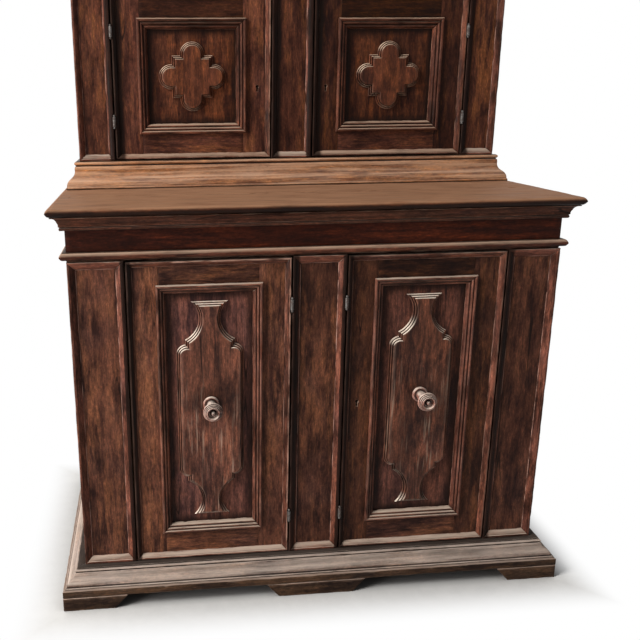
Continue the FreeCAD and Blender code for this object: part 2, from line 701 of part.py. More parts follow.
def upper_body():
    """Every fixed piece of the upper body but the hinges."""
    stile_x = (upper_half_width - outer_stile_width, upper_half_width)
    centre_x = (-centre_stile_width / 2, centre_stile_width / 2)
    board_y = (upper_front_y, upper_joinery_y)
    top_board_z = top_z - top_thickness
    side = box((upper_half_width - board_thickness, upper_half_width),
               (upper_joinery_y, inner_back_y), (upper_z, top_board_z))
    outer = box(stile_x, board_y, (upper_z, upper_opening_top_z))
    field_z = (upper_floor_z, upper_opening_top_z)
    shelf_z = upper_floor_z + upper_shelf_share * upper_opening_height
    inner = upper_half_width - board_thickness
    half_partition = partition_thickness / 2
    trim = edge_moulding(centre_x, field_z, upper_front_y, stile_moulding_width)
    for sign in (1, -1):
        x_range = tuple(sorted((sign * stile_x[0], sign * stile_x[1])))
        trim += edge_moulding(x_range, field_z, upper_front_y, stile_moulding_width)
    stop_x = (centre_x[1] + stop_lap - stop_width, centre_x[1] + stop_lap)
    stop_z = (upper_opening_top_z - upper_stop_height, upper_opening_top_z)
    floor_low = upper_floor_z - bottom_thickness
    return {
        "upper_base_moulding": case_moulding(upper_base_shares, upper_base_reach, upper_base_height,
                                             upper_half_width, upper_front_y, upper_z),
        "upper_sides": [mirrored(side), side],
        "upper_bottom_rail": [box((-stile_x[0], stile_x[0]), board_y, (upper_z, floor_low))],
        "upper_bottom_board": upper_bottom(stile_x[0], inner),
        "upper_back_boards": back_of(upper_half_width, (upper_z, top_board_z)),
        "upper_partition": [box((-half_partition, half_partition), (upper_joinery_y, inner_back_y),
                                (upper_floor_z, top_board_z))],
        "upper_shelves": shelf_pair(upper_half_width, upper_joinery_y, shelf_z),
        "shelf_cleats": cleats(upper_half_width, upper_joinery_y, shelf_z),
        "upper_stiles": [box(centre_x, board_y, field_z), mirrored(outer), outer],
        "stile_mouldings": notched_both_sides(trim, upper_front_y, upper_hinge_places()),
        "upper_frieze": [box((-upper_half_width, upper_half_width), board_y,
                             (upper_opening_top_z, top_board_z))],
        "upper_frieze_bead": case_moulding(bead_shares, upper_bead_reach, upper_bead_height,
                                           upper_half_width, upper_front_y,
                                           upper_opening_top_z + frieze_bead_lift),
        "cornice": case_moulding(cornice_shares, cornice_reach, cornice_height,
                                 upper_half_width, upper_front_y, cornice_z),
        "upper_top_board": [box((-upper_half_width, upper_half_width), (upper_front_y, back_y),
                                (top_board_z, top_z))],
        "door_stops": stops(stop_x, upper_joinery_y, stop_z),
    }


def upper_bottom(opening_x, inner):
    """The bottom board of the upper body, with a tongue under the doors."""
    z_range = (upper_floor_z - bottom_thickness, upper_floor_z)
    main = box((-inner, inner), (upper_joinery_y, inner_back_y), z_range)
    lip = box((-opening_x, opening_x), (upper_front_y, upper_joinery_y), z_range)
    return [main.fuse(lip).removeSplitter()]


def door_nodes(name, pieces, flip):
    """Named nodes of one door, mirrored for the left-hand one."""
    nodes = {}
    for key, solids in pieces.items():
        if key not in ("field", "case_hinges"):
            nodes[name + "_" + key] = [mirrored(s) for s in solids] if flip else solids
    return nodes


def all_nodes():
    """Every node of the cupboard, by name."""
    nodes = lower_body()
    for node, solids in upper_body().items():
        nodes[node] = nodes.get(node, []) + solids
    nodes["case_hinges"] = []
    for level, make in (("lower", lower_door), ("upper", upper_door)):
        right = make()
        nodes.update(door_nodes(level + "_door_left", right, True))
        nodes.update(door_nodes(level + "_door_right", right, False))
        case = right["case_hinges"]
        nodes["case_hinges"] += [mirrored(s) for s in case] + case
    x = pilaster_width / 2 + door_gap + keyhole_from_edge
    z = floor_z + lower_keyhole_share * lower_opening_height
    hole = keyhole(x, front_y, z, door_thickness)
    nodes["lower_door_right_frame"] = cut_all(nodes["lower_door_right_frame"], [hole])
    return nodes


os.makedirs("parts", exist_ok=True)
for node, solids in all_nodes().items():
    Part.makeCompound(solids).exportStep("parts/" + node + ".step")
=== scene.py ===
import math

import bpy
import numpy as np
from mathutils import Matrix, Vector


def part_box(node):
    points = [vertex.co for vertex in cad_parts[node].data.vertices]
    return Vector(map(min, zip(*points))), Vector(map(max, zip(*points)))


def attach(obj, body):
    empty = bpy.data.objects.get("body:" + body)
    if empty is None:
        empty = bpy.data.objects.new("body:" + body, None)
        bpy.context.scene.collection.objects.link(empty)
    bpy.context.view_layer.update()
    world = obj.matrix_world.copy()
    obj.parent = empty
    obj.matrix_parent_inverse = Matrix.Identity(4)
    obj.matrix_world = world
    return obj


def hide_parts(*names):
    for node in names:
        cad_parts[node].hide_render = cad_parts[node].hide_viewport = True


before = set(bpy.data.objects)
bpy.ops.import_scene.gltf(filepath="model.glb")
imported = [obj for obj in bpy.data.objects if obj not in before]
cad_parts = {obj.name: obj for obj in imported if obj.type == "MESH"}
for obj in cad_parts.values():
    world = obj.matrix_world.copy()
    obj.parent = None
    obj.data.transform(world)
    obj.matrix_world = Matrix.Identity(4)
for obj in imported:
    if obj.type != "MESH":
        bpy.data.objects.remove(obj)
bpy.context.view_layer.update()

bl_info = {
    "name": "Two-stage walnut cupboard",
    "version": (1, 0, 0),
    "blender": (4, 5, 0),
    "location": "3D View > Sidebar > Cupboard",
    "description": "Worn walnut boards, mouldings, carvings and knobs of a two-stage cupboard",
    "category": "Object",
}

# Lengths are metres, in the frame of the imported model: X across the front, Y to the back, Z up.
MM = 0.001
X, Y, Z = np.eye(3)
SIDES = ("left", "right")
DOORS = [level + "_door_" + side for level in ("lower", "upper") for side in SIDES]

# Sizes that the boxes of the frame's nodes don't give.
BASE_BOARD_WIDTH = 100 * MM
FOOT_HALF_TOP = 120 * MM
FOOT_HALF_BOTTOM = 90 * MM
FOOT_DEPTH = 70 * MM
CORNER_FOOT_WIDTH = 150 * MM
CORNER_FOOT_DEPTH = 120 * MM
FOOT_SLOPE = 30 * MM
REAR_FOOT_WIDTH = 90 * MM
CENTRE_STILE_WIDTH = 104 * MM
OUTER_STILE_WIDTH = 90 * MM
DOOR_GAP = 3 * MM
RIM_WIDTHS = {"pilaster": 19 * MM, "stile": 17 * MM, "door": 14 * MM}
PANEL_SLACK = 0.5 * MM
MOULDING_LAP = 8 * MM
PANEL_RECESS = 7 * MM
PANEL_MOULDING_RISE = 9 * MM
PANEL_MOULDING_WIDTHS = {"lower": 22 * MM, "upper": 26 * MM}
HINGE_RADIUS = 4 * MM
HINGE_HALF_HEIGHT = 18.3 * MM
KNUCKLE_HEIGHT = 12 * MM
HINGE_NOTCH_RADIUS = 4.9 * MM
KEYHOLE_INSET = 33 * MM
KEYHOLE_RADIUS = 3.4 * MM
KEYHOLE_HALF_SLOT = 1.7 * MM
KEYHOLE_DROP = 12 * MM
KEYHOLE_DEPTH = 18 * MM
KEYHOLE_SHARES = {"lower": 0.52, "upper": 0.44}
KEYED_STILES = {"upper_door_left": "right", "upper_door_right": "left", "lower_door_right": "left"}

# An old surface: the lengths of its waves, rubbed stretches and chips, the depth of a seam, how far
# round a convex and a hollow corner the surface counts as near it, where the pale streaks of the
# carvings end, how far the painted shade reaches beside an upright gap, and how far the carved
# fields are darkened round and above the knob.
WAVE_LENGTH = 45 * MM
CARVING_WAVE_LENGTH = 35 * MM
KNOB_WAVE_LENGTH = 30 * MM
RUB_LENGTH = 50 * MM
CHIP_LENGTH = 12 * MM
SEAM_DEPTH = 0.3 * MM
BAR_REACHES = (1.6 * MM, 3 * MM)
CARVING_REACHES = (1.2 * MM, 1.6 * MM)
KNOB_REACHES = (0.9 * MM, 1.1 * MM)
PALE_STREAKS_END = (460 * MM, 620 * MM)
GAP_SHADE_REACH = {"pilaster": 22 * MM, "lower": 14 * MM, "upper": 30 * MM}
KNOB_DARKENING_REACH = 34 * MM
UPPER_FIELD_DARKENING = {"left": 0.22, "right": 0.08}
UPPER_FIELD_DARKENING_REACH = 20 * MM
SMOOTH_ANGLE = math.radians(38)

# Profiles. Each is a list of shares of a width and a rise; a third number is the bow of an arc,
# as a share of its chord, to the left of the way it runs.
RIM_SHARES = [(0, 0), (0, 0.90), (0.03, 0.96), (0.32, 0.97, 0.08), (0.35, 0.86), (0.37, 0.79),
              (0.42, 0.82), (0.90, 0.14, 0.04), (0.94, 0.10), (1, 0)]
PANEL_MOULDING_SHARES = [(0, 0), (0, 0.76), (0.30, 0.92, 0.26), (0.335, 0.60), (0.60, 0.52, 0.26),
                         (0.635, 0.22), (0.90, 0.06, 0.24), (0.94, -0.10)]
PLINTH_SHARES = [(0, 0), (1, 0), (1, 0.06), (0.97, 0.095, -0.2), (0.91, 0.09), (0.91, 0.125),
                 (0.74, 0.42, -0.16), (0.52, 0.73, 0.16), (0.44, 0.735), (0.44, 0.765), (0.50, 0.78),
                 (0.49, 0.895, -0.3), (0.36, 0.90), (0.36, 0.93), (0.41, 0.94), (0.41, 0.99, -0.25),
                 (0.38, 1), (0, 1)]
UPPER_BASE_SHARES = [(0, 0), (1, 0), (1, 0.07), (0.94, 0.10), (0.62, 0.40, -0.14), (0.38, 0.72, 0.14),
                     (0.36, 0.80), (0.28, 0.84), (0.36, 0.88), (0.36, 0.97, -0.2), (0.26, 1), (0, 1)]
BEAD_SHARES = [(0, 0), (0.62, 0), (0.88, 0.20, -0.12), (0.96, 0.66, -0.22), (0.45, 1, -0.14), (0, 1)]
SLAB_MOULDING_SHARES = [(0, 0), (0.34, 0), (0.34, 0.24, -0.2), (0.44, 0.28), (0.52, 0.60, 0.12),
                        (0.84, 0.90, 0.14), (1, 0.92), (1, 1), (0, 1)]
CORNICE_SHARES = [(0, 0), (0.12, 0), (0.16, 0.10, -0.3), (0.16, 0.18), (0.46, 0.52, 0.16),
                  (0.56, 0.54), (0.56, 0.66), (0.78, 0.88, -0.18), (0.94, 0.90), (1, 0.92), (1, 1), (0, 1)]
# A reed of the carvings, and the last one, which runs into the field: shares of its width and of
# its step up.
REED_SHARES = [(0, 0.30), (0.08, 0.74), (0.34, 1.0), (0.62, 0.94), (0.86, 0.74), (0.97, 0.62)]
LAST_REED_SHARES = [(0, 0.30), (0.08, 0.70), (0.22, 0.92), (0.42, 1.0)]
# The cartouche's quarter outline: tip, neck, shoulder, foot of the step, end of the bow.
CARTOUCHE_SHARES = [(0.54, 1), (0.325, 0.827), (0.73, 0.664), (0.73, 0.622), (1, 0.53)]
CARTOUCHE_POINTS = {"top": 8, "neck": 26, "step": 5, "bow": 14, "side": 40}
QUATREFOIL_LOBE_SHARE = 0.182
QUATREFOIL_SQUARE_SHARE = 0.61
# How much lighter or darker each board of a door is than its wood, in steps of a sixth: partly each
# board's own tone, partly painted shade, as the right-hand doors and the top rails are darker where less
# light reaches them.
TONED_BOARDS = ("bottom_rail", "top_rail", "left_stile", "right_stile", "panel", "carving")
DOOR_TONES_AND_SHADE = {
    "lower_door_left": (-0.4, -1.2, 0.8, 1.0, 1.6, 0.3),
    "lower_door_right": (-0.3, -3.0, -2.5, -2.5, -0.8, -1.6),
    "upper_door_left": (0.3, -2.8, 2.6, 2.6, 0.0, 0.0),
    "upper_door_right": (-0.3, -4.8, -2.3, -1.4, -1.2, 0.0),
}
# The knob, from its seat outwards: shares of its radius and of its length.
KNOB_SHARES = [(0.30, -0.02), (0.80, -0.02), (0.83, 0.02, -0.3), (0.80, 0.065, -0.3), (0.72, 0.085, -0.2),
               (0.64, 0.07), (0.50, 0.075), (0.455, 0.10), (0.47, 0.16, 0.1), (0.50, 0.30, -0.1),
               (0.485, 0.33), (0.53, 0.37, -0.3), (0.52, 0.395), (0.575, 0.60, -0.06), (0.56, 0.64),
               (0.64, 0.70, 0.15), (0.93, 0.745), (1.0, 0.79, -0.35), (0.96, 0.84, -0.3), (0.88, 0.83),
               (0.88, 0.86), (0.885, 0.90, -0.3), (0.80, 0.895), (0.79, 0.92), (0.79, 0.955, -0.3),
               (0.71, 0.95), (0.70, 0.975), (0.66, 0.998, -0.3), (0.57, 0.99, -0.2), (0.52, 0.93),
               (0.47, 0.86, 0.1), (0.42, 0.88, -0.3), (0.36, 0.86), (0.18, 0.85), (0.17, 0.94, -0.2),
               (0.10, 0.985, -0.3), (0.01, 0.99)]


def settings():
    """The sizes and colours that the sidebar shows."""
    return bpy.context.scene.cupboard


def span(node):
    """The ranges of a node of the frame along X, Y and Z."""
    low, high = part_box(node)
    return [(low[i], high[i]) for i in range(3)]


def both_ends(whole, width):
    """The ranges of two like boards at the two ends of a range."""
    return (whole[0], whole[0] + width), (whole[1] - width, whole[1])


def level_of(door):
    """The body that a door belongs to, lower or upper."""
    return door.split("_")[0]


def tone_of(door, board):
    """How much lighter or darker a board of a door is."""
    return DOOR_TONES_AND_SHADE[door][TONED_BOARDS.index(board)]


def srgb(text):
    """The scene colour of a colour written as six hexadecimal digits."""
    value = np.array([int(text[i:i + 2], 16) for i in (0, 2, 4)]) / 255
    linear = np.where(value <= 0.04045, value / 12.92, ((value + 0.055) / 1.055) ** 2.4)
    return (*linear.tolist(), 1.0)


def ripple(points, size, seed, waves=9):
    """Smooth noise, mostly from -1 to 1: a sum of sine waves of random direction, about size long."""
    rng = np.random.default_rng(seed)
    way = rng.normal(size=(waves, points.shape[-1]))
    way *= rng.uniform(0.6, 1.7, (waves, 1)) * 2 * np.pi / size / np.linalg.norm(way, axis=1, keepdims=True)
    return np.sin(points @ way.T + rng.uniform(0, 2 * np.pi, waves)).sum(-1) / math.sqrt(waves / 2) / 1.6


def profile(shares, width, rise, steps=7):
    """A closed loop from shares. On an arc, a point is the chord's point plus the bow times 4t(1 - t)."""
    points = np.array([s[:2] for s in shares]) * (width, rise)
    bows = np.array([s[2] if len(s) > 2 else 0 for s in shares])
    chord = points - np.roll(points, 1, 0)
    left = np.stack([-chord[:, 1], chord[:, 0]], 1) * bows[:, None]
    t = np.arange(1, steps + 1)[None, :, None] / steps
    run = np.roll(points, 1, 0)[:, None] + chord[:, None] * t + left[:, None] * 4 * t * (1 - t)
    keep = np.where(bows[:, None] != 0, True, np.arange(steps) == steps - 1)
    return run[keep]


def softened(loop, radius):
    """The loop with each sharp corner cut off by a small curve, the quadratic curve through it."""
    back, ahead = np.roll(loop, 1, 0) - loop, np.roll(loop, -1, 0) - loop
    back_length, ahead_length = np.linalg.norm(back, axis=1), np.linalg.norm(ahead, axis=1)
    cosine = (back * ahead).sum(1) / np.maximum(back_length * ahead_length, 1e-12)
    sharp = cosine > -0.9
    cut = np.minimum(radius, 0.45 * np.minimum(back_length, ahead_length)) * sharp
    start = loop + back * (cut / back_length)[:, None]
    end = loop + ahead * (cut / ahead_length)[:, None]
    t = np.linspace(0, 1, 5)[None, :, None]
    curve = (1 - t) ** 2 * start[:, None] + 2 * t * (1 - t) * loop[:, None] + t ** 2 * end[:, None]
    keep = np.where(sharp[:, None], True, np.arange(5) == 0)
    return curve[keep]


def spaced(loop, gap):
    """The loop with points added along its long edges, so that none is longer than gap."""
    step = np.roll(loop, -1, 0) - loop
    count = np.maximum(1, np.ceil(np.linalg.norm(step, axis=1) / gap)).astype(int)
    edge = np.repeat(np.arange(len(loop)), count)
    place = np.arange(len(edge)) - np.repeat(np.cumsum(count) - count, count)
    return loop[edge] + step[edge] * (place / count[edge])[:, None]


def anticlockwise(loop):
    """The loop turned, if it has to be, so that its area is positive."""
    after = np.roll(loop, -1, 0)
    area = (loop[:, 0] * after[:, 1] - after[:, 0] * loop[:, 1]).sum()
    return loop if area > 0 else loop[::-1]


def corners_of(loop, arris_reach, recess_reach):
    """Outward normals, and how near each point lies to a convex and to a hollow corner.

    Each is the turn of the points around it, weighed by a bell curve of their distance."""
    back, ahead = loop - np.roll(loop, 1, 0), np.roll(loop, -1, 0) - loop
    turn = np.arctan2(back[:, 0] * ahead[:, 1] - back[:, 1] * ahead[:, 0], (back * ahead).sum(1))
    run = sum(step / np.linalg.norm(step, axis=1, keepdims=True) for step in (back, ahead))
    normal = np.stack([run[:, 1], -run[:, 0]], 1)
    normal /= np.maximum(np.linalg.norm(normal, axis=1, keepdims=True), 1e-9)
    apart = ((loop[:, None] - loop[None]) ** 2).sum(-1)
    arris = (np.exp(-apart / arris_reach ** 2) * turn).sum(1) / (math.pi / 2)
    recess = (np.exp(-apart / recess_reach ** 2) * turn).sum(1) / (-math.pi / 2)
    return normal, np.clip(arris, 0, 1), np.clip(recess, 0, 1)


def grid_quads(index):
    """The quads between neighbours in a grid of point numbers."""
    corners = [index[:-1, :-1], index[:-1, 1:], index[1:, 1:], index[1:, :-1]]
    return np.stack(corners, -1).reshape(-1, 4)


class Skin:
    """The points, faces and surface values of one piece, gathered part by part."""

    def __init__(self, seed):
        self.rng = np.random.default_rng(seed)
        self.points, self.grain, self.marks = [], [], []
        self.quads, self.caps = [], []
        self.count = 0

    def shift(self):
        """A place in the wood that no other board has."""
        return self.rng.uniform(-9, 9, 3)

    def add_rings(self, points, grain, marks, outward, caps=(True, True)):
        """Rings of points joined by quads, with a cap on the first and the last ring."""
        index = self.add_points(points, grain, marks)
        quads = grid_quads(np.concatenate([index, index[:, :1]], 1))
        ends = [index[0][::-1], index[-1]]
        if not outward:
            quads, ends = quads[:, ::-1], [end[::-1] for end in ends]
        self.quads.append(quads)
        self.caps += [end for end, wanted in zip(ends, caps) if wanted]
        return index

    def add_points(self, points, grain, marks):
        """Points with their grain places and their marks. It returns their numbers."""
        self.points.append(points.reshape(-1, 3))
        self.grain.append(grain.reshape(-1, 3))
        self.marks.append(marks.reshape(-1, 3))
        index = self.count + np.arange(points.size // 3).reshape(points.shape[:-1])
        self.count += points.size // 3
        return index

    def finish(self, name, body, material, slot, nodes):
        """The mesh object, riding on its body, in place of the frame's nodes."""
        points = np.concatenate(self.points)
        quads = np.concatenate(self.quads).ravel()
        loops = np.concatenate([quads, *self.caps]).astype(np.int32)
        sizes = np.concatenate([np.full(len(quads) // 4, 4), [len(c) for c in self.caps]]).astype(np.int32)
        mesh = bpy.data.meshes.new(name)
        mesh.vertices.add(len(points))
        mesh.vertices.foreach_set("co", points.astype(np.float32).ravel())
        mesh.loops.add(len(loops))
        mesh.loops.foreach_set("vertex_index", loops)
        mesh.polygons.add(len(sizes))
        mesh.polygons.foreach_set("loop_start", (np.cumsum(sizes) - sizes).astype(np.int32))
        mesh.update(calc_edges=True)
        grain = mesh.attributes.new("grain", "FLOAT_VECTOR", "POINT")
        grain.data.foreach_set("vector", np.concatenate(self.grain).astype(np.float32).ravel())
        marks = np.concatenate(self.marks)
        for i, mark in enumerate(("arris", "recess", "tone")):
            attribute = mesh.attributes.new(mark, "FLOAT", "POINT")
            attribute.data.foreach_set("value", marks[:, i].astype(np.float32))
        if mesh.validate():
            raise RuntimeError(name + ": the mesh has faulty faces")
        mesh.shade_smooth()
        mesh.set_sharp_from_angle(angle=SMOOTH_ANGLE)
        mesh.materials.append(material)
        piece = bpy.data.objects.new(name, mesh)
        bpy.context.scene.collection.objects.link(piece)
        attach(piece, body)
        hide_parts(*nodes)


def add_bar(skin, loop, origin, along, across, out, length, start=(0, 0), end=(0, 0),
            ring_gap=6 * MM, rings=(), wear=1.0, waviness=1.0, carve=None, tone=0.0):
    """A board or moulding: a closed loop carried along a straight line.

    A point is origin + t along + a across + d out, where (a, d) is on the loop and t runs from the
    slanted start to the slanted end. It is sunk inwards by a smooth wave, by wear that is deepest
    at convex corners, and by a shallow groove at both ends. carve may then change its heights and
    its marks."""
    loop = anticlockwise(loop)
    normal, arris, recess = corners_of(loop, *BAR_REACHES)
    a, d = loop.T
    first = start[0] * a + start[1] * d
    last = length + end[0] * a + end[1] * d
    nick = 0.8 * MM / length
    even = np.linspace(0, 1, max(2, math.ceil(length / ring_gap)) + 1)[1:-1]
    share = np.unique(np.concatenate([[0, nick], even, np.asarray(rings) / length, [1 - nick, 1]]))[:, None]
    t = first + share * (last - first)
    flat = np.stack([t, a + 0 * t, d + 0 * t], -1)
    shift = skin.shift()
    worn = np.clip(ripple(flat + shift, RUB_LENGTH, 1) + 0.25, 0, None)
    chips = np.clip(ripple(flat + shift, CHIP_LENGTH, 2) - 0.9, 0, None)
    waves = np.clip(1 + ripple((flat + shift) * (0.35, 1, 1), WAVE_LENGTH, 3), 0, None)
    sink = 0.35 * waviness * waves + wear * arris * (0.25 + worn + 2.2 * chips)
    sink = settings().wear_depth * sink + SEAM_DEPTH * ((share <= 0) | (share >= 1))
    sunk_a, sunk_d = a - normal[:, 0] * sink, d - normal[:, 1] * sink
    marks = np.stack([arris + 0 * t, recess + 0 * t, 0 * t + tone + skin.rng.uniform(-0.6, 0.6)], -1)
    if carve is not None:
        sunk_d, marks = carve(t, sunk_a, sunk_d, marks)
    place = np.asarray(origin) + t[..., None] * along + sunk_a[..., None] * across + sunk_d[..., None] * out
    right_handed = np.cross(across, out) @ along > 0
    skin.add_rings(place, flat + shift, marks, right_handed)


def rectangle_loop(a_range, d_range, radius=0.9 * MM, gap=14 * MM):
    """The section of a board, with softened corners."""
    (a0, a1), (d0, d1) = a_range, d_range
    return spaced(softened(np.array([(a0, d0), (a1, d0), (a1, d1), (a0, d1)], float), radius), gap)


def add_board(skin, ranges, grain_axis, radius=0.9 * MM, ring_gap=12 * MM, **options):
    """A plain board between six places, with its grain along X, Y or Z."""
    axes = {"x": (0, 2, 1), "y": (1, 0, 2), "z": (2, 0, 1)}[grain_axis]
    ways = np.eye(3)[list(axes)]
    low, high = np.array(ranges).T
    size = (high - low)[list(axes)]
    loop = rectangle_loop((0, size[1]), (0, size[2]), radius)
    add_bar(skin, loop, low, *ways, size[0], ring_gap=ring_gap, **options)


def add_planks(skin, ranges, grain_axis, split_axis, count, lap=0.8 * MM, **options):
    """A board made of several planks side by side, of slightly unlike widths, that lap a little so
    that no light comes through."""
    axis = "xyz".index(split_axis)
    low, high = ranges[axis]
    shares = np.linspace(0, 1, count + 1)
    shares[1:-1] += skin.rng.uniform(-0.12, 0.12, count - 1) / count
    places = low + (high - low) * shares
    for place, after in zip(places[:-1], places[1:]):
        part = list(ranges)
        part[axis] = (max(low, place - lap), min(high, after + lap))
        add_board(skin, part, grain_axis, **options)


def add_rectangle_run(skin, loop, x_range, z_range, y, **options):
    """Four mitred bars inside an upright rectangle; the loop's first axis runs inwards."""
    (x0, x1), (z0, z1) = x_range, z_range
    runs = [((x0, y, z0), X, Z, x1 - x0), ((x0, y, z1), X, -Z, x1 - x0),
            ((x0, y, z0), Z, X, z1 - z0), ((x1, y, z0), Z, -X, z1 - z0)]
    for origin, along, across, length in runs:
        add_bar(skin, loop, origin, along, across, -Y, length, (1, 0), (-1, 0), **options)


def add_case_run(skin, loop, half_width, front, back, z, **options):
    """A moulding along the front and both sides of a case, mitred at the front corners."""
    add_bar(skin, loop, (-half_width, front, z), X, Z, -Y, 2 * half_width, (0, -1), (0, 1), **options)
    for side in (-1, 1):
        add_bar(skin, loop, (side * half_width, front, z), Y, Z, side * X, back - front, (0, -1), **options)


def notched(skin, hinges):
    """Moves the points that lie inside a hinge's knuckles out to a cylinder round its axis."""
    points = np.concatenate(skin.points)
    for x, y, z_low, z_high in hinges:
        dx, dy = points[:, 0] - x, points[:, 1] - y
        apart = np.maximum(np.hypot(dx, dy), 1e-6)
        inside = (apart < HINGE_NOTCH_RADIUS) & (points[:, 2] > z_low) & (points[:, 2] < z_high)
        push = np.where(inside, HINGE_NOTCH_RADIUS / apart, 1)
        points[:, 0], points[:, 1] = x + dx * push, y + dy * push
    skin.points = [points]


def painted_gap_shade(skin, gaps, reach):
    """Painted shade on what lies just right of some upright gaps, fading over a reach."""
    x, marks = np.concatenate(skin.points)[:, 0], np.concatenate(skin.marks)
    for gap in gaps:
        past = (x - gap) / reach
        # painted shade: the recess mark darkens these points as if they lay in the gap's shadow
        marks[:, 1] = np.maximum(marks[:, 1], np.clip(1.6 - 1.6 * past, 0, 1) * (past > -0.5))
    skin.marks = [marks]


class Shader:
    """The node tree of a material or world, with a short call for each kind of node used here."""

    def __init__(self, owner):
        owner.use_nodes = True
        self.owner, self.tree = owner, owner.node_tree
        self.tree.nodes.clear()

    def node(self, kind, inputs=None, **properties):
        """A node with its properties set and its inputs set or linked."""
        made = self.tree.nodes.new("ShaderNode" + kind)
        for name, value in properties.items():
            setattr(made, name, value)
        for name, value in (inputs or {}).items():
            if isinstance(value, bpy.types.NodeSocket):
                self.tree.links.new(value, made.inputs[name])
            else:
                made.inputs[name].default_value = value
        return made

    def sum(self, operation, a, b=0.0):
        """One step of arithmetic."""
        return self.node("Math", {0: a, 1: b}, operation=operation).outputs[0]

    def scaled(self, value, factor, base):
        """The value times a factor, plus a base."""
        return self.node("Math", {0: value, 1: factor, 2: base}, operation="MULTIPLY_ADD").outputs[0]

    def times(self, *factors):
        """The product of several values."""
        product = factors[0]
        for factor in factors[1:]:
            product = self.sum("MULTIPLY", product, factor)
        return product

    def inverse(self, value):
        """1 less the value."""
        return self.sum("SUBTRACT", 1.0, value)

    def between(self, value, low, high):
        """0 below low, 1 above high and a smooth step between them."""
        made = self.node("MapRange", {"Value": value, "From Min": low, "From Max": high},
                         interpolation_type="SMOOTHSTEP")
        return made.outputs[0]

    def below(self, value, low, high):
        """1 below low, 0 above high and a smooth step between them."""
        return self.inverse(self.between(value, low, high))

    def mix(self, share, first, second, blend="MIX"):
        """Two colours blended by a share."""
        made = self.node("Mix", data_type="RGBA", blend_type=blend)
        for socket, value in zip((made.inputs[0], made.inputs[6], made.inputs[7]), (share, first, second)):
            if isinstance(value, bpy.types.NodeSocket):
                self.tree.links.new(value, socket)
            else:
                socket.default_value = value
        return made.outputs[2]

    def tinted(self, colour, share, factors):
        """The colour multiplied by factors where the share is 1."""
        return self.mix(share, colour, self.mix(1.0, colour, (*factors, 1), "MULTIPLY"))

    def toned(self, colour, shares):
        """The colour made lighter or darker by the tone that the mesh carries."""
        tones = [self.scaled(self.mark("tone"), share, 1.0) for share in shares]
        tones = self.node("CombineColor", dict(enumerate(tones))).outputs[0]
        return self.mix(1.0, colour, tones, "MULTIPLY")

    def stretch(self, vector, scale):
        """A place scaled unevenly."""
        return self.node("VectorMath", {0: vector, 1: scale}, operation="MULTIPLY").outputs[0]

    def noise(self, vector, scale, detail=2.0, roughness=0.5):
        """Smooth noise from 0 to 1 whose patches are 1/scale long on each axis."""
        made = self.node("TexNoise", {"Vector": self.stretch(vector, scale), "Scale": 1.0,
                                      "Detail": detail, "Roughness": roughness})
        return made.outputs[0]

    def cells(self, vector, scale):
        """The distance to the nearest cell's centre."""
        made = self.node("TexVoronoi", {"Vector": self.stretch(vector, scale), "Scale": 1.0})
        return made.outputs[0]

    def mark(self, name):
        """A surface value that the mesh carries."""
        return self.node("Attribute", attribute_name=name, attribute_type="GEOMETRY").outputs["Fac"]

    def finish(self, inputs, height, bump_distance, bump_strength=1.0):
        """The surface, with its relief."""
        bump = self.node("Bump", {"Height": height, "Distance": bump_distance, "Strength": bump_strength})
        surface = self.node("BsdfPrincipled", {**inputs, "Normal": bump.outputs[0]})
        self.node("OutputMaterial", {"Surface": surface.outputs[0]})
        return self.owner


def grain_axes(shader, axis):
    """Object coordinates turned so that their first axis runs along the grain."""
    place = shader.node("TexCoord").outputs["Object"]
    parts = shader.node("SeparateXYZ", {0: place}).outputs
    order = {"x": (0, 2, 1), "y": (1, 0, 2), "z": (2, 0, 1)}[axis]
    return shader.node("CombineXYZ", {i: parts[j] for i, j in enumerate(order)}).outputs[0]


def wood_place(shader, axis):
    """The place in the wood, with its first axis along the grain: the mesh's own, or along an axis."""
    if axis:
        return grain_axes(shader, axis)
    return shader.node("Attribute", attribute_name="grain").outputs["Vector"]


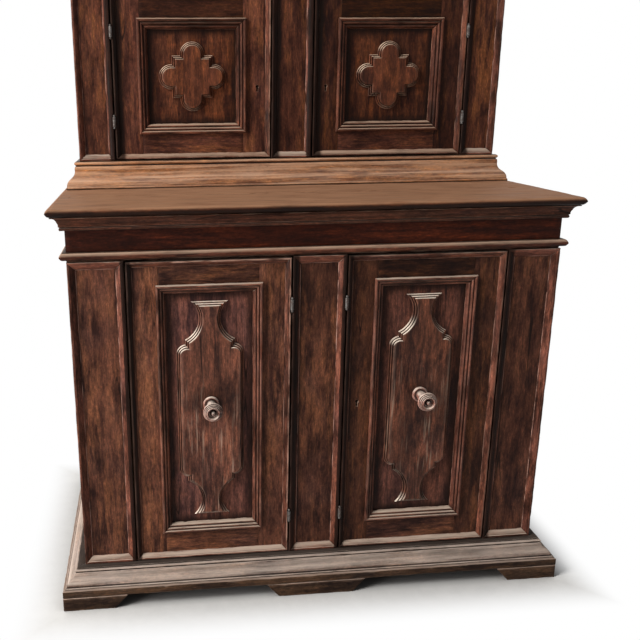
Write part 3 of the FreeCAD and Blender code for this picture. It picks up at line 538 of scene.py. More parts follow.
def walnut(name, dark, mid, warm, worn="A08472", dust_and_highlight=0.35, wear=1.0, axis=None, gloss=0.48, patch=0.55,
           curl=0.0, pale=0.0, scratched=0.0, grime=0.6, shine=0.06, dust_and_highlight_tint="B5A092"):
    """Old waxed walnut. The grain is noise drawn out along the boards at four widths: growth
    bands, streaks, flecks and fibres. Mottling and smudges lie over it, then pale streaks, rubbed
    arrises that are also painted highlights, dark wax and painted shade in the corners and gaps, dust
    and painted highlight on what faces up, pores, fine checks and worm holes."""
    s = Shader(bpy.data.materials.new(name))
    place = wood_place(s, axis)
    sway = s.sum("SUBTRACT", s.noise(place, (1.8, 6, 6), 2), 0.5)
    sway = s.node("CombineXYZ", {1: s.times(sway, 0.03), 2: s.times(sway, 0.02)}).outputs[0]
    swayed = s.node("VectorMath", {0: place, 1: sway}, operation="ADD").outputs[0]
    bands = s.noise(swayed, (2, 20, 20), 7, 0.66)
    streaks = s.noise(swayed, (11, 85, 85), 5, 0.7)
    flecks = s.noise(swayed, (55, 300, 300), 3, 0.75)
    fibres = s.noise(place, (55, 1500, 1500), 2, 0.6)
    speckle = s.noise(place, (120, 230, 230), 3, 0.75)
    mottle = s.noise(place, (11, 26, 26), 8, 0.72)
    smudges = s.noise(place, (3, 8, 8), 9, 0.70)

    tonality = s.sum("ADD", s.times(streaks, 0.30), s.times(mottle, 0.35))
    tonality = s.sum("ADD", s.times(bands, 0.35), tonality)
    colour = s.mix(s.between(tonality, 0.40, 0.60), srgb(dark), srgb(mid))
    warmth = s.sum("ADD", s.times(smudges, 0.55), s.times(streaks, 0.45))
    colour = s.mix(s.times(s.between(warmth, 0.48, 0.64), patch), colour, srgb(warm))
    bloom = s.between(s.noise(place, (6, 9, 9), 6, 0.68), 0.46, 0.66)
    colour = s.tinted(colour, s.times(bloom, 0.4), (0.78, 0.95, 1.3))
    colour = s.tinted(colour, s.times(s.between(flecks, 0.48, 0.68), 0.6), (1.9, 1.7, 1.6))
    colour = s.tinted(colour, s.times(s.below(flecks, 0.32, 0.50), 0.5), (0.45, 0.43, 0.43))
    colour = s.tinted(colour, s.times(s.between(speckle, 0.52, 0.70), 0.55), (1.9, 1.7, 1.6))
    colour = s.tinted(colour, s.times(s.below(speckle, 0.32, 0.48), 0.5), (0.5, 0.48, 0.48))
    colour = s.tinted(colour, s.times(s.below(mottle, 0.30, 0.56), grime), (0.42, 0.39, 0.42))
    colour = s.tinted(colour, s.times(s.below(smudges, 0.32, 0.56), grime), (0.55, 0.50, 0.55))
    colour = s.tinted(colour, s.times(s.between(fibres, 0.35, 0.8), 0.4), (1.5, 1.45, 1.4))
    if curl:
        waves = s.noise(place, (95, 22, 22), 2, 0.5)
        colour = s.tinted(colour, s.times(s.between(waves, 0.44, 0.66), curl), (1.6, 1.45, 1.3))
    if pale:
        bleach = s.noise(swayed, (3, 90, 90), 5, 0.68)
        colour = s.mix(s.times(s.between(bleach, 0.40, 0.62), pale), colour, srgb(worn))
    pores = s.between(s.noise(place, (75, 1250, 1250), 1), 0.60, 0.70)
    colour = s.tinted(colour, s.times(pores, 0.45), (0.3, 0.27, 0.25))
    ridge = s.sum("ABSOLUTE", s.sum("SUBTRACT", s.noise(swayed, (1.1, 24, 24), 1), 0.5))
    checks = s.times(s.below(ridge, 0.0012, 0.005), s.between(s.noise(place, (3, 11, 11), 1), 0.56, 0.62))
    holes = s.below(s.cells(place, (75, 75, 75)), 0.055, 0.075)
    holes = s.times(holes, s.between(s.noise(place, (7, 7, 7), 1), 0.62, 0.67))
    faults = s.sum("MAXIMUM", checks, holes)
    colour = s.mix(s.times(faults, 0.85), colour, srgb("120B08"))
    if scratched:
        height = s.node("SeparateXYZ", {0: s.node("TexCoord").outputs["Object"]}).outputs[2]
        low = s.times(s.below(height, *PALE_STREAKS_END), scratched)
        thread = s.between(s.noise(place, (9, 190, 190), 3, 0.6), 0.53, 0.68)
        thread = s.times(thread, s.between(s.noise(place, (5, 18, 18), 3, 0.6), 0.40, 0.60))
        colour = s.mix(s.times(thread, low), colour, srgb(worn))
    # Dust and painted highlight: what faces up turns to the pale dust tint, partly dust and partly the
    # light from above painted in.
    facing = s.node("SeparateXYZ", {0: s.node("NewGeometry").outputs["Normal"]}).outputs[2]
    settled = s.between(s.noise(swayed, (9, 60, 60), 5, 0.7), 0.08, 0.62)
    upward_dust_and_highlight = s.times(s.between(facing, 0.12, 0.75), settled)
    if not axis:
        colour = s.toned(colour, (0.16, 0.165, 0.18))
        # Rubbed arrises turn the pale worn colour: wear, and also a painted highlight on the rims' crowns,
        # the left doors' rim tops and the knob's boss.
        rub_noise = s.between(s.noise(place, (24, 90, 90), 4, 0.6), 0.34, 0.66)
        rubbed_and_highlight = s.times(s.between(s.mark("arris"), 0.3, 0.9), rub_noise, 0.5 * wear)
        colour = s.mix(rubbed_and_highlight, colour, srgb(worn))
        # Dark wax and painted shade: the recess mark darkens hollows, gaps and shaded places to the wax
        # colour.
        darkening = s.times(s.between(s.mark("recess"), 0.02, 0.6), 0.9)
        colour = s.mix(darkening, colour, tuple(settings().wax_and_shade_colour))
        upward_dust_and_highlight = s.times(upward_dust_and_highlight, s.inverse(darkening))
    colour = s.mix(s.times(upward_dust_and_highlight, dust_and_highlight), colour, srgb(dust_and_highlight_tint))
    rough = s.scaled(s.times(upward_dust_and_highlight, dust_and_highlight), 0.3, gloss)
    rough = s.sum("ADD", rough, s.times(s.sum("SUBTRACT", mottle, 0.5), 0.6))
    relief = s.sum("ADD", s.times(fibres, 0.12), s.times(streaks, 0.30))
    relief = s.sum("ADD", relief, s.times(s.noise(place, (11, 60, 60), 3), 0.7))
    relief = s.sum("SUBTRACT", relief, s.sum("ADD", s.times(pores, 0.2), faults))
    inputs = {"Base Color": colour, "Roughness": rough, "Specular IOR Level": shine}
    return s.finish(inputs, relief, 0.6 * MM, 0.7)


def rough_wood(name, dark="4E3828", mid="6E523C", axis=None):
    """Plain inner wood, sawn and never waxed: bands, saw marks across the grain and stains."""
    s = Shader(bpy.data.materials.new(name))
    place = wood_place(s, axis)
    bands = s.noise(place, (1.5, 48, 48), 4, 0.6)
    fibres = s.noise(place, (30, 900, 900), 3, 0.65)
    stains = s.noise(place, (5, 7, 7), 4, 0.6)
    saw = s.noise(place, (380, 3, 3), 1)
    colour = s.mix(s.between(bands, 0.34, 0.66), srgb(dark), srgb(mid))
    colour = s.tinted(colour, s.times(s.between(fibres, 0.3, 0.75), 0.45), (1.45, 1.4, 1.35))
    colour = s.tinted(colour, s.times(s.between(stains, 0.46, 0.70), 0.6), (0.5, 0.47, 0.46))
    if not axis:
        colour = s.toned(colour, (0.2, 0.2, 0.2))
    relief = s.sum("ADD", s.times(fibres, 0.4), s.times(s.between(saw, 0.4, 0.6), 0.35))
    inputs = {"Base Color": colour, "Roughness": s.scaled(fibres, 0.3, 0.62), "Specular IOR Level": 0.3}
    return s.finish(inputs, relief, 0.7 * MM)


def old_iron(name):
    """Forged iron, grey where it is rubbed and brown where it has rusted."""
    s = Shader(bpy.data.materials.new(name))
    place = s.node("TexCoord").outputs["Object"]
    rust = s.between(s.noise(place, (140, 140, 140), 4, 0.65), 0.42, 0.62)
    pits = s.noise(place, (600, 600, 600), 3, 0.6)
    colour = s.mix(rust, tuple(settings().iron_colour), srgb("3A2B24"))
    colour = s.mix(s.between(pits, 0.55, 0.75), colour, srgb("2B221E"))
    inputs = {"Base Color": colour, "Roughness": s.scaled(rust, 0.35, 0.46),
              "Metallic": s.scaled(rust, -0.75, 0.9)}
    return s.finish(inputs, pits, 0.3 * MM)


# The woods: the dark, middle and warm colour of the grain, then what differs from waxed walnut.
WALNUTS = {
    "frame_walnut": dict(dark="2B1914", mid="5C3A2C", warm="7B4E33"),
    "panel_walnut": dict(dark="2E1C19", mid="623F35", warm="7A4B3A", patch=0.5, grime=0.45),
    # Darker than the frame walnut below: partly painted shade, less light being taken to reach the upper
    # case.
    "upper_walnut": dict(dark="281510", mid="533124", warm="744728", patch=0.6),
    "curly_walnut": dict(dark="28130D", mid="4C2D20", warm="703F24", patch=0.6, curl=0.4),
    # Its pale dust tint makes the crowns of the reeds that face up a painted highlight as well as dust.
    "carved_walnut": dict(dark="321E18", mid="654032", warm="85513D", worn="A88D7C", dust_and_highlight_tint="D2C2B2",
                          patch=0.7, dust_and_highlight=1.0, wear=0.25, scratched=0.55, shine=0.10),
    "quatrefoil_walnut": dict(dark="331A10", mid="5C3423", warm="7A4526", dust_and_highlight_tint="C0A690", patch=0.5,
                              dust_and_highlight=1.0, wear=0.25, shine=0.10),
    "moulding_walnut": dict(dark="29160F", mid="623C2F", warm="7E4D3B", worn="BC9482", dust_and_highlight_tint="A59384",
                            dust_and_highlight=1.0, wear=1.1, gloss=0.40),
    "upper_moulding_walnut": dict(dark="29160F", mid="5E382A", warm="784936", worn="B48C78",
                                  dust_and_highlight_tint="9E8471", dust_and_highlight=1.0, gloss=0.40),
    # The rims' pale worn colour and strong wear make their rubbed crowns a painted highlight as well as
    # wear.
    "rim_walnut": dict(dark="2A1710", mid="673F32", warm="82503F", worn="C49A8A", dust_and_highlight_tint="A59384",
                       dust_and_highlight=1.0, wear=1.6, shine=0.05, gloss=0.42),
    "case_walnut": dict(dark="2A1812", mid="4C3024", warm="5E3424", grime=0.45),
    "frieze_walnut": dict(dark="1F0C07", mid="37170D", warm="552614", wear=0.8, grime=0.3),
    "waist_walnut": dict(dark="5A3626", mid="94643F", warm="B87A44", worn="CBA283", dust_and_highlight=0.15,
                         pale=0.6, gloss=0.4, shine=0.18, grime=0.45),
    "plinth_walnut": dict(dark="463730", mid="8B776A", warm="90715D", worn="AC9C91", dust_and_highlight_tint="B8AA9E",
                          dust_and_highlight=0.4, pale=0.6, gloss=0.55),
    "top_walnut": dict(dark="2A120A", mid="57301E", warm="6E4026", worn="A98468", dust_and_highlight_tint="9A7358",
                       dust_and_highlight=0.9, gloss=0.42, shine=0.08, grime=0.45),
    "foot_walnut": dict(dark="221814", mid="483628", warm="573F2E", dust_and_highlight=0.5, gloss=0.6),
    "knob_walnut": dict(dark="46291F", mid="8E6254", warm="A06A54", worn="D8BCAE", dust_and_highlight_tint="E0D6C8",
                        dust_and_highlight=0.5, wear=1.2, gloss=0.34, shine=0.25),
    "hidden_walnut": dict(dark="2F1C16", mid="4C3023", warm="6A3A27", axis="x"),
}
ROUGH_WOODS = {"back_wood": dict(dark="5B4433", mid="7C6049"), "inner_wood_x": dict(axis="x"),
               "inner_wood_y": dict(axis="y"), "inner_wood_z": dict(axis="z")}


def finish_of(name):
    """A material by name, made the first time that it is asked for."""
    if name in bpy.data.materials:
        return bpy.data.materials[name]
    if name in WALNUTS:
        return walnut(name, **WALNUTS[name])
    if name in ROUGH_WOODS:
        return rough_wood(name, **ROUGH_WOODS[name])
    return old_iron(name)


def dress(node, material):
    """Gives a node of the frame its finish."""
    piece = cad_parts[node]
    piece.data.materials.clear()
    piece.data.materials.append(finish_of(material))


def put(skin, name, body, material, slot, *nodes):
    """Finishes a piece of this cupboard in one of its woods."""
    skin.finish(name, body, finish_of(material), slot, nodes)


def case_front():
    """Half width, front plane and back plane of the lower case, and the same of the upper case."""
    lower, upper = span("outer_pilasters"), span("upper_stiles")
    back = span("lower_back_boards")[1][1]
    return (lower[0][1], lower[1][0], back), (upper[0][1], upper[1][0], back)


def door_facts(door):
    """A door's outer ranges, its field inside the frame boards, its front plane and thickness."""
    x_range, y_range, z_range = span(door + "_frame")
    panel = span(door + "_panel")
    field_x = (panel[0][0] - PANEL_SLACK, panel[0][1] + PANEL_SLACK)
    field_z = (panel[2][0] - PANEL_SLACK, panel[2][1] + PANEL_SLACK)
    return x_range, z_range, field_x, field_z, y_range[0], y_range[1] - y_range[0]


def hinges_of(door):
    """Axis place and height range of each hinge of a door; the pair are mirror images in height."""
    (x0, x1), (y0, _), (z0, z1) = span(door + "_hinge_leaves")
    return [((x0 + x1) / 2, y0 + HINGE_RADIUS, z - HINGE_HALF_HEIGHT, z + HINGE_HALF_HEIGHT)
            for z in (z0 + KNUCKLE_HEIGHT, z1 - KNUCKLE_HEIGHT)]


def make_feet():
    """Centre bracket foot, corner feet and rear feet."""
    (_, x1), (y0, _), (_, high) = span("front_feet")
    lean = (FOOT_HALF_TOP - FOOT_HALF_BOTTOM) / high
    skin = Skin(11)
    loop = rectangle_loop((0, high), (-FOOT_DEPTH, 0), 1.6 * MM)
    add_bar(skin, loop, (-FOOT_HALF_BOTTOM, y0, 0), X, Z, -Y, 2 * FOOT_HALF_BOTTOM, (-lean, 0), (lean, 0),
            wear=1.6)
    depth = CORNER_FOOT_DEPTH
    section = np.array([(0, 0), (0, FOOT_SLOPE - depth), (high, -depth), (high, 0)])
    loop = spaced(softened(section, 1.6 * MM), 14 * MM)
    length = CORNER_FOOT_WIDTH - FOOT_SLOPE
    for side in (-1, 1):
        add_bar(skin, loop, (side * (x1 - length), y0, 0), side * X, Z, -Y, length,
                (-FOOT_SLOPE / high, 0), wear=1.6)
    put(skin, "front_bracket_feet", "root", "foot_walnut", "walnut", "front_feet")
    skin = Skin(12)
    x_range, y_range, z_range = span("rear_feet")
    for ends in both_ends(x_range, REAR_FOOT_WIDTH):
        add_board(skin, [ends, y_range, z_range], "x")
    put(skin, "rear_block_feet", "root", "foot_walnut", "walnut", "rear_feet")


def make_base_boards():
    """The flat boards under the case, mitred at the front corners."""
    (x0, x1), (y0, y1), (z0, z1) = span("base_frame")
    width = BASE_BOARD_WIDTH
    loop = rectangle_loop((0, width), (0, z1 - z0), 2.2 * MM)
    skin = Skin(13)
    options = {"wear": 2.2, "ring_gap": 8 * MM}
    add_bar(skin, loop, (x0, y0, z0), X, Y, Z, x1 - x0, (1, 0), (-1, 0), **options)
    for x, side in ((x0, 1), (x1, -1)):
        add_bar(skin, loop, (x, y0, z0), Y, side * X, Z, y1 - y0, (1, 0), **options)
    add_board(skin, [(x0 + width, x1 - width), (y1 - width, y1), (z0, z1)], "x")
    put(skin, "base_boards", "root", "foot_walnut", "walnut", "base_frame")


def unrubbed(t, a, d, marks):
    """Leaves the arrises of a board as dark as its face, with wax in the seams."""
    marks[..., 1] = np.maximum(marks[..., 1], 0.5 * marks[..., 0])
    marks[..., 0] = 0
    return d, marks


def painted_top_shade(height, share):
    """Thin painted shade over the upper part of an upright board of some height, above a share of it."""
    def carve(t, a, d, marks):
        # painted shade, growing towards the top of the board
        darkening = 0.2 * np.clip((t / height - share) / 0.15, 0, 1)
        marks[..., 1] = np.maximum(marks[..., 1], darkening)
        return d, marks
    return carve


def make_case_boards():
    """Sides, pilaster boards, stile boards and frieze boards."""
    front = span("lower_frieze")[1]
    thickness = front[1] - front[0]
    skin = Skin(21)
    x_range, y_range, z_range = span("lower_sides")
    for ends in both_ends(x_range, thickness):
        add_planks(skin, [ends, y_range, z_range], "z", "y", 3, carve=unrubbed)
    put(skin, "lower_side_planks", "root", "case_walnut", "walnut", "lower_sides")
    skin = Skin(22)
    x_range, y_range, z_range = span("upper_sides")
    for ends in both_ends(x_range, thickness):
        add_board(skin, [ends, y_range, z_range], "z")
    put(skin, "upper_side_planks", "root", "case_walnut", "walnut", "upper_sides")
    skin = Skin(23)
    centre, y_range, z_range = span("centre_pilaster")
    # The centre pilaster darkens towards its top: painted shade.
    carve = painted_top_shade(z_range[1] - z_range[0], 0.7)
    add_board(skin, [centre, y_range, z_range], "z", tone=-0.3, carve=carve)
    painted_gap_shade(skin, centre[:1], GAP_SHADE_REACH["pilaster"])
    put(skin, "centre_pilaster_board", "root", "frame_walnut", "walnut", "centre_pilaster")
    skin = Skin(24)
    x_range, y_range, z_range = span("outer_pilasters")
    for ends in both_ends(x_range, centre[1] - centre[0]):
        add_board(skin, [ends, y_range, z_range], "z", wear=1.6)
    put(skin, "outer_pilaster_boards", "root", "frame_walnut", "walnut", "outer_pilasters")
    skin = Skin(25)
    x_range, y_range, z_range = span("upper_stiles")
    for ends in both_ends(x_range, OUTER_STILE_WIDTH):
        add_board(skin, [ends, y_range, z_range], "z", wear=1.6)
    half, low = CENTRE_STILE_WIDTH / 2, span("upper_door_left_frame")[2][0] - DOOR_GAP
    add_board(skin, [(-half, half), y_range, (low, z_range[1])], "z", tone=-1.0)
    painted_gap_shade(skin, [-half], GAP_SHADE_REACH["upper"])
    put(skin, "upper_stile_boards", "root", "upper_walnut", "walnut", "upper_stiles")
    for seed, level in enumerate(("lower", "upper"), 26):
        skin = Skin(seed)
        add_board(skin, span(level + "_frieze"), "x")
        put(skin, level + "_frieze_board", "root", "frieze_walnut", "walnut", level + "_frieze")


def make_backs():
    """Upright planks across the backs of both cases."""
    for seed, level in enumerate(("lower", "upper"), 31):
        skin = Skin(seed)
        node = level + "_back_boards"
        add_planks(skin, span(node), "z", "x", 5, lap=1.1 * MM, radius=2 * MM, waviness=1.6)
        put(skin, level + "_back_planks", "root", "back_wood", "inner_wood", node)


def make_tops():
    """The three-plank top of the lower case, with its rounded nose, and the board over the cornice."""
    (x0, x1), (y0, y1), (z0, z1) = span("top_slab")
    length, height = x1 - x0, z1 - z0
    middle, nose = height / 2, 0.49 * height
    widths = np.diff(np.array([0, 0.34, 0.655, 1.0]) * (y1 - y0))
    near_end = np.linspace(0.4 * MM, nose, 9)
    end_rings = np.concatenate([near_end, length - near_end])
    quarter_circle = -0.207
    lap = 0.8 * MM

    def round_ends(t, a, d, marks):
        """Draws the plank in towards its middle level near its ends, along a quarter circle."""
        from_end = np.clip(np.minimum(t, length - t), 0, nose)
        half = middle - nose + np.sqrt(np.maximum(nose ** 2 - (nose - from_end) ** 2, 0))
        # Painted shade under the front plank's rounded nose, darkest at its bottom.
        darkening = nose_shade_share * np.clip(1.5 - 1.5 * d / height, 0, 1) * (a < nose)
        marks[..., 0] = np.maximum(marks[..., 0], 0.7 * (1 - from_end / nose))
        marks[..., 1] = np.maximum(marks[..., 1], darkening)
        return middle + (d - middle) * half / middle, marks

    skin = Skin(41)
    place = y0
    for i, width in enumerate(widths + (lap, 2 * lap, lap)):
        if i == 0:
            nose_shade_share = 0.7
            corners = [(width, 0), (width, height), (nose, height), (0, height - nose, quarter_circle),
                       (0, nose), (nose, 0, quarter_circle)]
            loop = spaced(softened(profile(corners, 1, 1), 0.6 * MM), 12 * MM)
        else:
            nose_shade_share = 0
            loop = rectangle_loop((0, width), (0, height), 1.2 * MM)
        add_bar(skin, loop, (x0, place, z0), X, Y, Z, length, rings=end_rings, carve=round_ends,
                wear=1.5, waviness=1.6, ring_gap=8 * MM)
        place += width - 2 * lap
    put(skin, "top_planks", "root", "top_walnut", "walnut", "top_slab")
    skin = Skin(42)
    add_planks(skin, span("upper_top_board"), "x", "y", 2)
    put(skin, "cornice_top_planks", "root", "case_walnut", "walnut", "upper_top_board")


def joint_wax(height, reach):
    """Dark wax along both long edges of a moulding of some height, over a reach."""
    def carve(t, a, d, marks):
        darkening = np.clip(1.5 - 1.5 * np.minimum(a, height - a) / reach, 0, 1)
        marks[..., 1] = np.maximum(marks[..., 1], darkening)
        return d, marks
    return carve


def make_case_mouldings():
    """The mouldings that run round both cases. Each reaches as far out as its node of the frame."""
    lower, upper = case_front()
    runs = [("plinth_run", "plinth_moulding", PLINTH_SHARES, lower, "plinth_walnut", 1.5),
            ("frieze_bead_run", "frieze_bead", BEAD_SHARES, lower, "upper_moulding_walnut", 1.4),
            ("slab_moulding_run", "slab_moulding", SLAB_MOULDING_SHARES, lower, "case_walnut", 1.0),
            ("upper_base_run", "upper_base_moulding", UPPER_BASE_SHARES, upper, "waist_walnut", 1.8),
            ("upper_bead_run", "upper_frieze_bead", BEAD_SHARES, upper, "upper_moulding_walnut", 1.2),
            ("cornice_run", "cornice", CORNICE_SHARES, upper, "upper_moulding_walnut", 1.2)]
    for seed, (name, node, shares, (half, front, back), material, wear) in enumerate(runs, 51):
        (_, x1), _, (z0, z1) = span(node)
        loop = profile(shares, x1 - half, z1 - z0, 9)
        loop[:, 0] *= (x1 - half) / loop[:, 0].max()
        loop = spaced(softened(loop, 0.7 * MM), 4 * MM)[:, ::-1]
        skin = Skin(seed)
        add_case_run(skin, loop, half, front, back, z0, wear=wear, ring_gap=5 * MM,
                     carve=joint_wax(z1 - z0, 1.6 * MM))
        put(skin, name, "root", material, "walnut", node)


def edge_loop(width, node):
    """The section of the raised moulding round a rim, as high as a node of the frame is deep."""
    low, high = span(node)[1]
    loop = profile(RIM_SHARES, width, high - low, 6)
    loop[:, 1] *= (high - low) / loop[:, 1].max()
    return spaced(softened(loop, 0.6 * MM), 2 * MM)


def shut_edge(width, reach, rubbed_and_highlight=0.0):
    """Painted shade in and beside the gap at a rim, and thinner, with dark wax, along its inner foot,
    over a reach; and the flat top rubbed by a share, a painted highlight."""
    def carve(t, a, d, marks):
        marks[..., 0] = np.maximum(marks[..., 0], rubbed_and_highlight * (a > 0.04 * width) * (a < 0.33 * width))
        # painted shade in the gap, and shade with wax along the inner foot
        darkening = np.maximum(np.clip(1.5 - 1.5 * a / reach, 0, 1), 0.5 * np.exp((a - width) / reach))
        marks[..., 1] = np.maximum(marks[..., 1], darkening)
        return d, marks
    return carve


def make_rims():
    """The raised mouldings round the pilaster and stile boards."""
    lower, upper = case_front()
    half = span("centre_pilaster")[0][1]
    jobs = [("pilaster", "lower", lower, half, 2 * half, GAP_SHADE_REACH["pilaster"]),
            ("stile", "upper", upper, CENTRE_STILE_WIDTH / 2, OUTER_STILE_WIDTH, GAP_SHADE_REACH["upper"])]
    for seed, (board, level, (case_half, front, _), centre, outer_width, reach) in enumerate(jobs, 61):
        node, width = board + "_mouldings", RIM_WIDTHS[board]
        skin = Skin(seed)
        for x_range in ((-centre, centre), *both_ends((-case_half, case_half), outer_width)):
            add_rectangle_run(skin, edge_loop(width, node), x_range, span(node)[2], front,
                              ring_gap=4 * MM, wear=1.1, carve=shut_edge(width, 1.2 * MM))
        doors = [level + "_door_" + side for side in SIDES]
        notched(skin, [hinge for door in doors for hinge in hinges_of(door)])
        painted_gap_shade(skin, [x for door in doors for x in span(door + "_frame")[0]], reach)
        put(skin, board + "_rims", "root", "rim_walnut", "walnut", node)


def make_inside():
    """Finish of the boards inside the cases, which stay as the frame has them."""
    for node, axis in (("lower_bottom_board", "x"), ("upper_bottom_board", "x"), ("lower_shelves", "x"),
                       ("upper_shelves", "x"), ("shelf_cleats", "y"), ("door_stops", "z"),
                       ("lower_partition", "z"), ("upper_partition", "z")):
        dress(node, "inner_wood_" + axis)
    for node in ("lower_bottom_rail", "upper_bottom_rail"):
        dress(node, "hidden_walnut")


def keyhole_carve(t_middle, a_middle):
    """A pit in the shape of a round hole over a slot, with a smooth step at its edge."""
    def carve(t, a, d, marks):
        dt, da = t - t_middle, a - a_middle
        hole = np.hypot(dt, da) - KEYHOLE_RADIUS
        slit = np.maximum(np.abs(da) - KEYHOLE_HALF_SLOT, np.maximum(dt, -KEYHOLE_DROP - dt))
        apart = np.minimum(hole, slit)
        front = d > -2 * MM
        inside = np.clip(0.5 - apart / (0.7 * MM), 0, 1)
        inside = inside * inside * (3 - 2 * inside) * front
        # A pale rubbed rim round the keyhole, and painted shade inside its pit where a hole would be dark.
        marks[..., 0] = 0.8 * front * np.exp(-(apart / (1.6 * MM)) ** 2)
        marks[..., 1] = np.maximum(marks[..., 1], inside)
        return d - KEYHOLE_DEPTH * inside, marks
    return carve


def make_door_frames():
    """Stiles of full height with the rails between them, and the keyholes."""
    for seed, door in enumerate(DOORS, 71):
        (x0, x1), (z0, z1), field_x, field_z, y, thickness = door_facts(door)
        level = level_of(door)
        side = field_x[0] - x0 + MOULDING_LAP
        bottom, top = field_z[0] - z0 + MOULDING_LAP, z1 - field_z[1] + MOULDING_LAP
        hole_z = (z1 - z0 + 2 * DOOR_GAP) * KEYHOLE_SHARES[level] - DOOR_GAP
        skin = Skin(seed)
        plain = {"carve": edge_of_board(0.5 * MM), "ring_gap": 9 * MM}
        for rail, z, width in (("bottom_rail", z0, bottom), ("top_rail", z1 - top, top)):
            loop = rectangle_loop((0, width), (-thickness, 0), 0.8 * MM, 9 * MM)
            add_bar(skin, loop, (x0 + side, y, z), X, Z, -Y, x1 - x0 - 2 * side,
                    tone=tone_of(door, rail), **plain)
        for hand, x, across in (("left", x0, X), ("right", x1, -X)):
            loop = rectangle_loop((0, side), (-thickness, 0), 0.8 * MM, 9 * MM)
            options = plain
            if KEYED_STILES.get(door) == hand:
                loop = with_front_points(loop, KEYHOLE_INSET + np.arange(-5, 5.1, 0.5) * MM)
                options = {"rings": hole_z + np.arange(-15, 6, 0.5) * MM, "ring_gap": 9 * MM,
                           "carve": keyhole_carve(hole_z, KEYHOLE_INSET)}
            add_bar(skin, loop, (x, y, z0), Z, across, -Y, z1 - z0,
                    tone=tone_of(door, hand + "_stile"), **options)
        painted_gap_shade(skin, [x0], GAP_SHADE_REACH[level])
        material = {"lower": "frame_walnut", "upper": "upper_walnut"}[level]
        put(skin, door + "_frame_boards", door, material, "walnut", door + "_frame")


def edge_of_board(reach):
    """Painted shade on the hidden outer edge of a stile, in its gap, over a reach."""
    def carve(t, a, d, marks):
        marks[..., 0] = 0
        marks[..., 1] = np.maximum(marks[..., 1], 0.8 * (a < reach) * (d < -reach))
        return d, marks
    return carve


def with_front_points(loop, places):
    """A board's section with its points near some places on its front swapped for those places."""
    near = (loop[:, 0] > places[0] - MM) & (loop[:, 0] < places[-1] + MM) & (loop[:, 1] > -MM)
    loop = np.concatenate([loop[~near], np.stack([places, 0 * places], 1)])
    middle = (loop.max(0) + loop.min(0)) / 2
    return loop[np.argsort(np.arctan2(loop[:, 1] - middle[1], loop[:, 0] - middle[0]))]


def make_door_mouldings():
    """The raised rim of each door and the reeded moulding round its panel."""
    for seed, door in enumerate(DOORS, 81):
        x_range, z_range, field_x, field_z, y, _ = door_facts(door)
        level, rim_width = level_of(door), RIM_WIDTHS["door"]
        rim_node = {"lower": "pilaster_mouldings", "upper": "stile_mouldings"}[level]
        # Only the left doors get rubbed rim tops: a painted highlight on the doors on the side of the
        # light.
        rubbed_and_highlight = 0.9 if door.endswith("left") else 0.0
        skin = Skin(seed)
        add_rectangle_run(skin, edge_loop(rim_width, rim_node), x_range, z_range, y,
                          ring_gap=4 * MM, wear=1.1, carve=shut_edge(rim_width, 1.2 * MM, rubbed_and_highlight))
        notched(skin, hinges_of(door))
        painted_gap_shade(skin, [x_range[0]], GAP_SHADE_REACH[level])
        width = PANEL_MOULDING_WIDTHS[level]
        loop = profile(PANEL_MOULDING_SHARES, width, PANEL_MOULDING_RISE, 7)
        foot = [(width, -PANEL_RECESS), (MOULDING_LAP, -PANEL_RECESS), (MOULDING_LAP, 0)]
        loop = spaced(softened(np.concatenate([loop, foot]), 0.6 * MM), 3 * MM)
        add_rectangle_run(skin, loop, field_x, field_z, y, ring_gap=4 * MM, wear=1.2)
        material = {"lower": "moulding_walnut", "upper": "upper_moulding_walnut"}[level]
        put(skin, door + "_moulding_runs", door, material, "walnut", door + "_mouldings")


def wax_and_shade_by_moulding(door, reach):
    """Dark wax and painted shade on a panel, deepest beside the moulding round it and fading over a reach.
    """
    (x0, _), _, (z0, _) = span(door + "_panel")
    field_x, field_z = door_facts(door)[2:4]
    width = PANEL_MOULDING_WIDTHS[level_of(door)]

    def carve(t, a, d, marks):
        x, z = x0 + a, z0 + t
        from_side = np.minimum(x - field_x[0], field_x[1] - x)
        from_end = np.minimum(z - field_z[0], field_z[1] - z)
        past = np.clip(np.minimum(from_side, from_end) - width, 0, None)
        marks[..., 1] = np.maximum(marks[..., 1], 0.5 * np.exp(-(past / reach) ** 2))
        return d, marks
    return carve


def make_panels():
    """The loose panels in their grooves."""
    for seed, door in enumerate(DOORS, 91):
        skin = Skin(seed)
        add_board(skin, span(door + "_panel"), "z", radius=0.5 * MM, waviness=1.8, ring_gap=7 * MM,
                  carve=wax_and_shade_by_moulding(door, 16 * MM), tone=tone_of(door, "panel"))
        material = {"lower": "panel_walnut", "upper": "curly_walnut"}[level_of(door)]
        put(skin, door + "_board_panel", door, material, "walnut_panel", door + "_panel")


def arc(centre, radius, start, end, count):
    """Points on a circle from one angle to another."""
    angle = np.linspace(start, end, count)
    return np.stack([centre[0] + radius * np.cos(angle), centre[1] + radius * np.sin(angle)], 1)


def circle_through(p, q, r):
    """Centre and radius of the circle through three points, from the crossing of two bisectors."""
    p, q, r = (np.asarray(v, float) for v in (p, q, r))
    sides = 2 * np.array([q - p, r - p])
    centre = np.linalg.solve(sides, [q @ q - p @ p, r @ r - p @ p])
    return centre, np.linalg.norm(p - centre)


def line(start, end, count):
    """Points on a straight line."""
    return np.linspace(start, end, count)


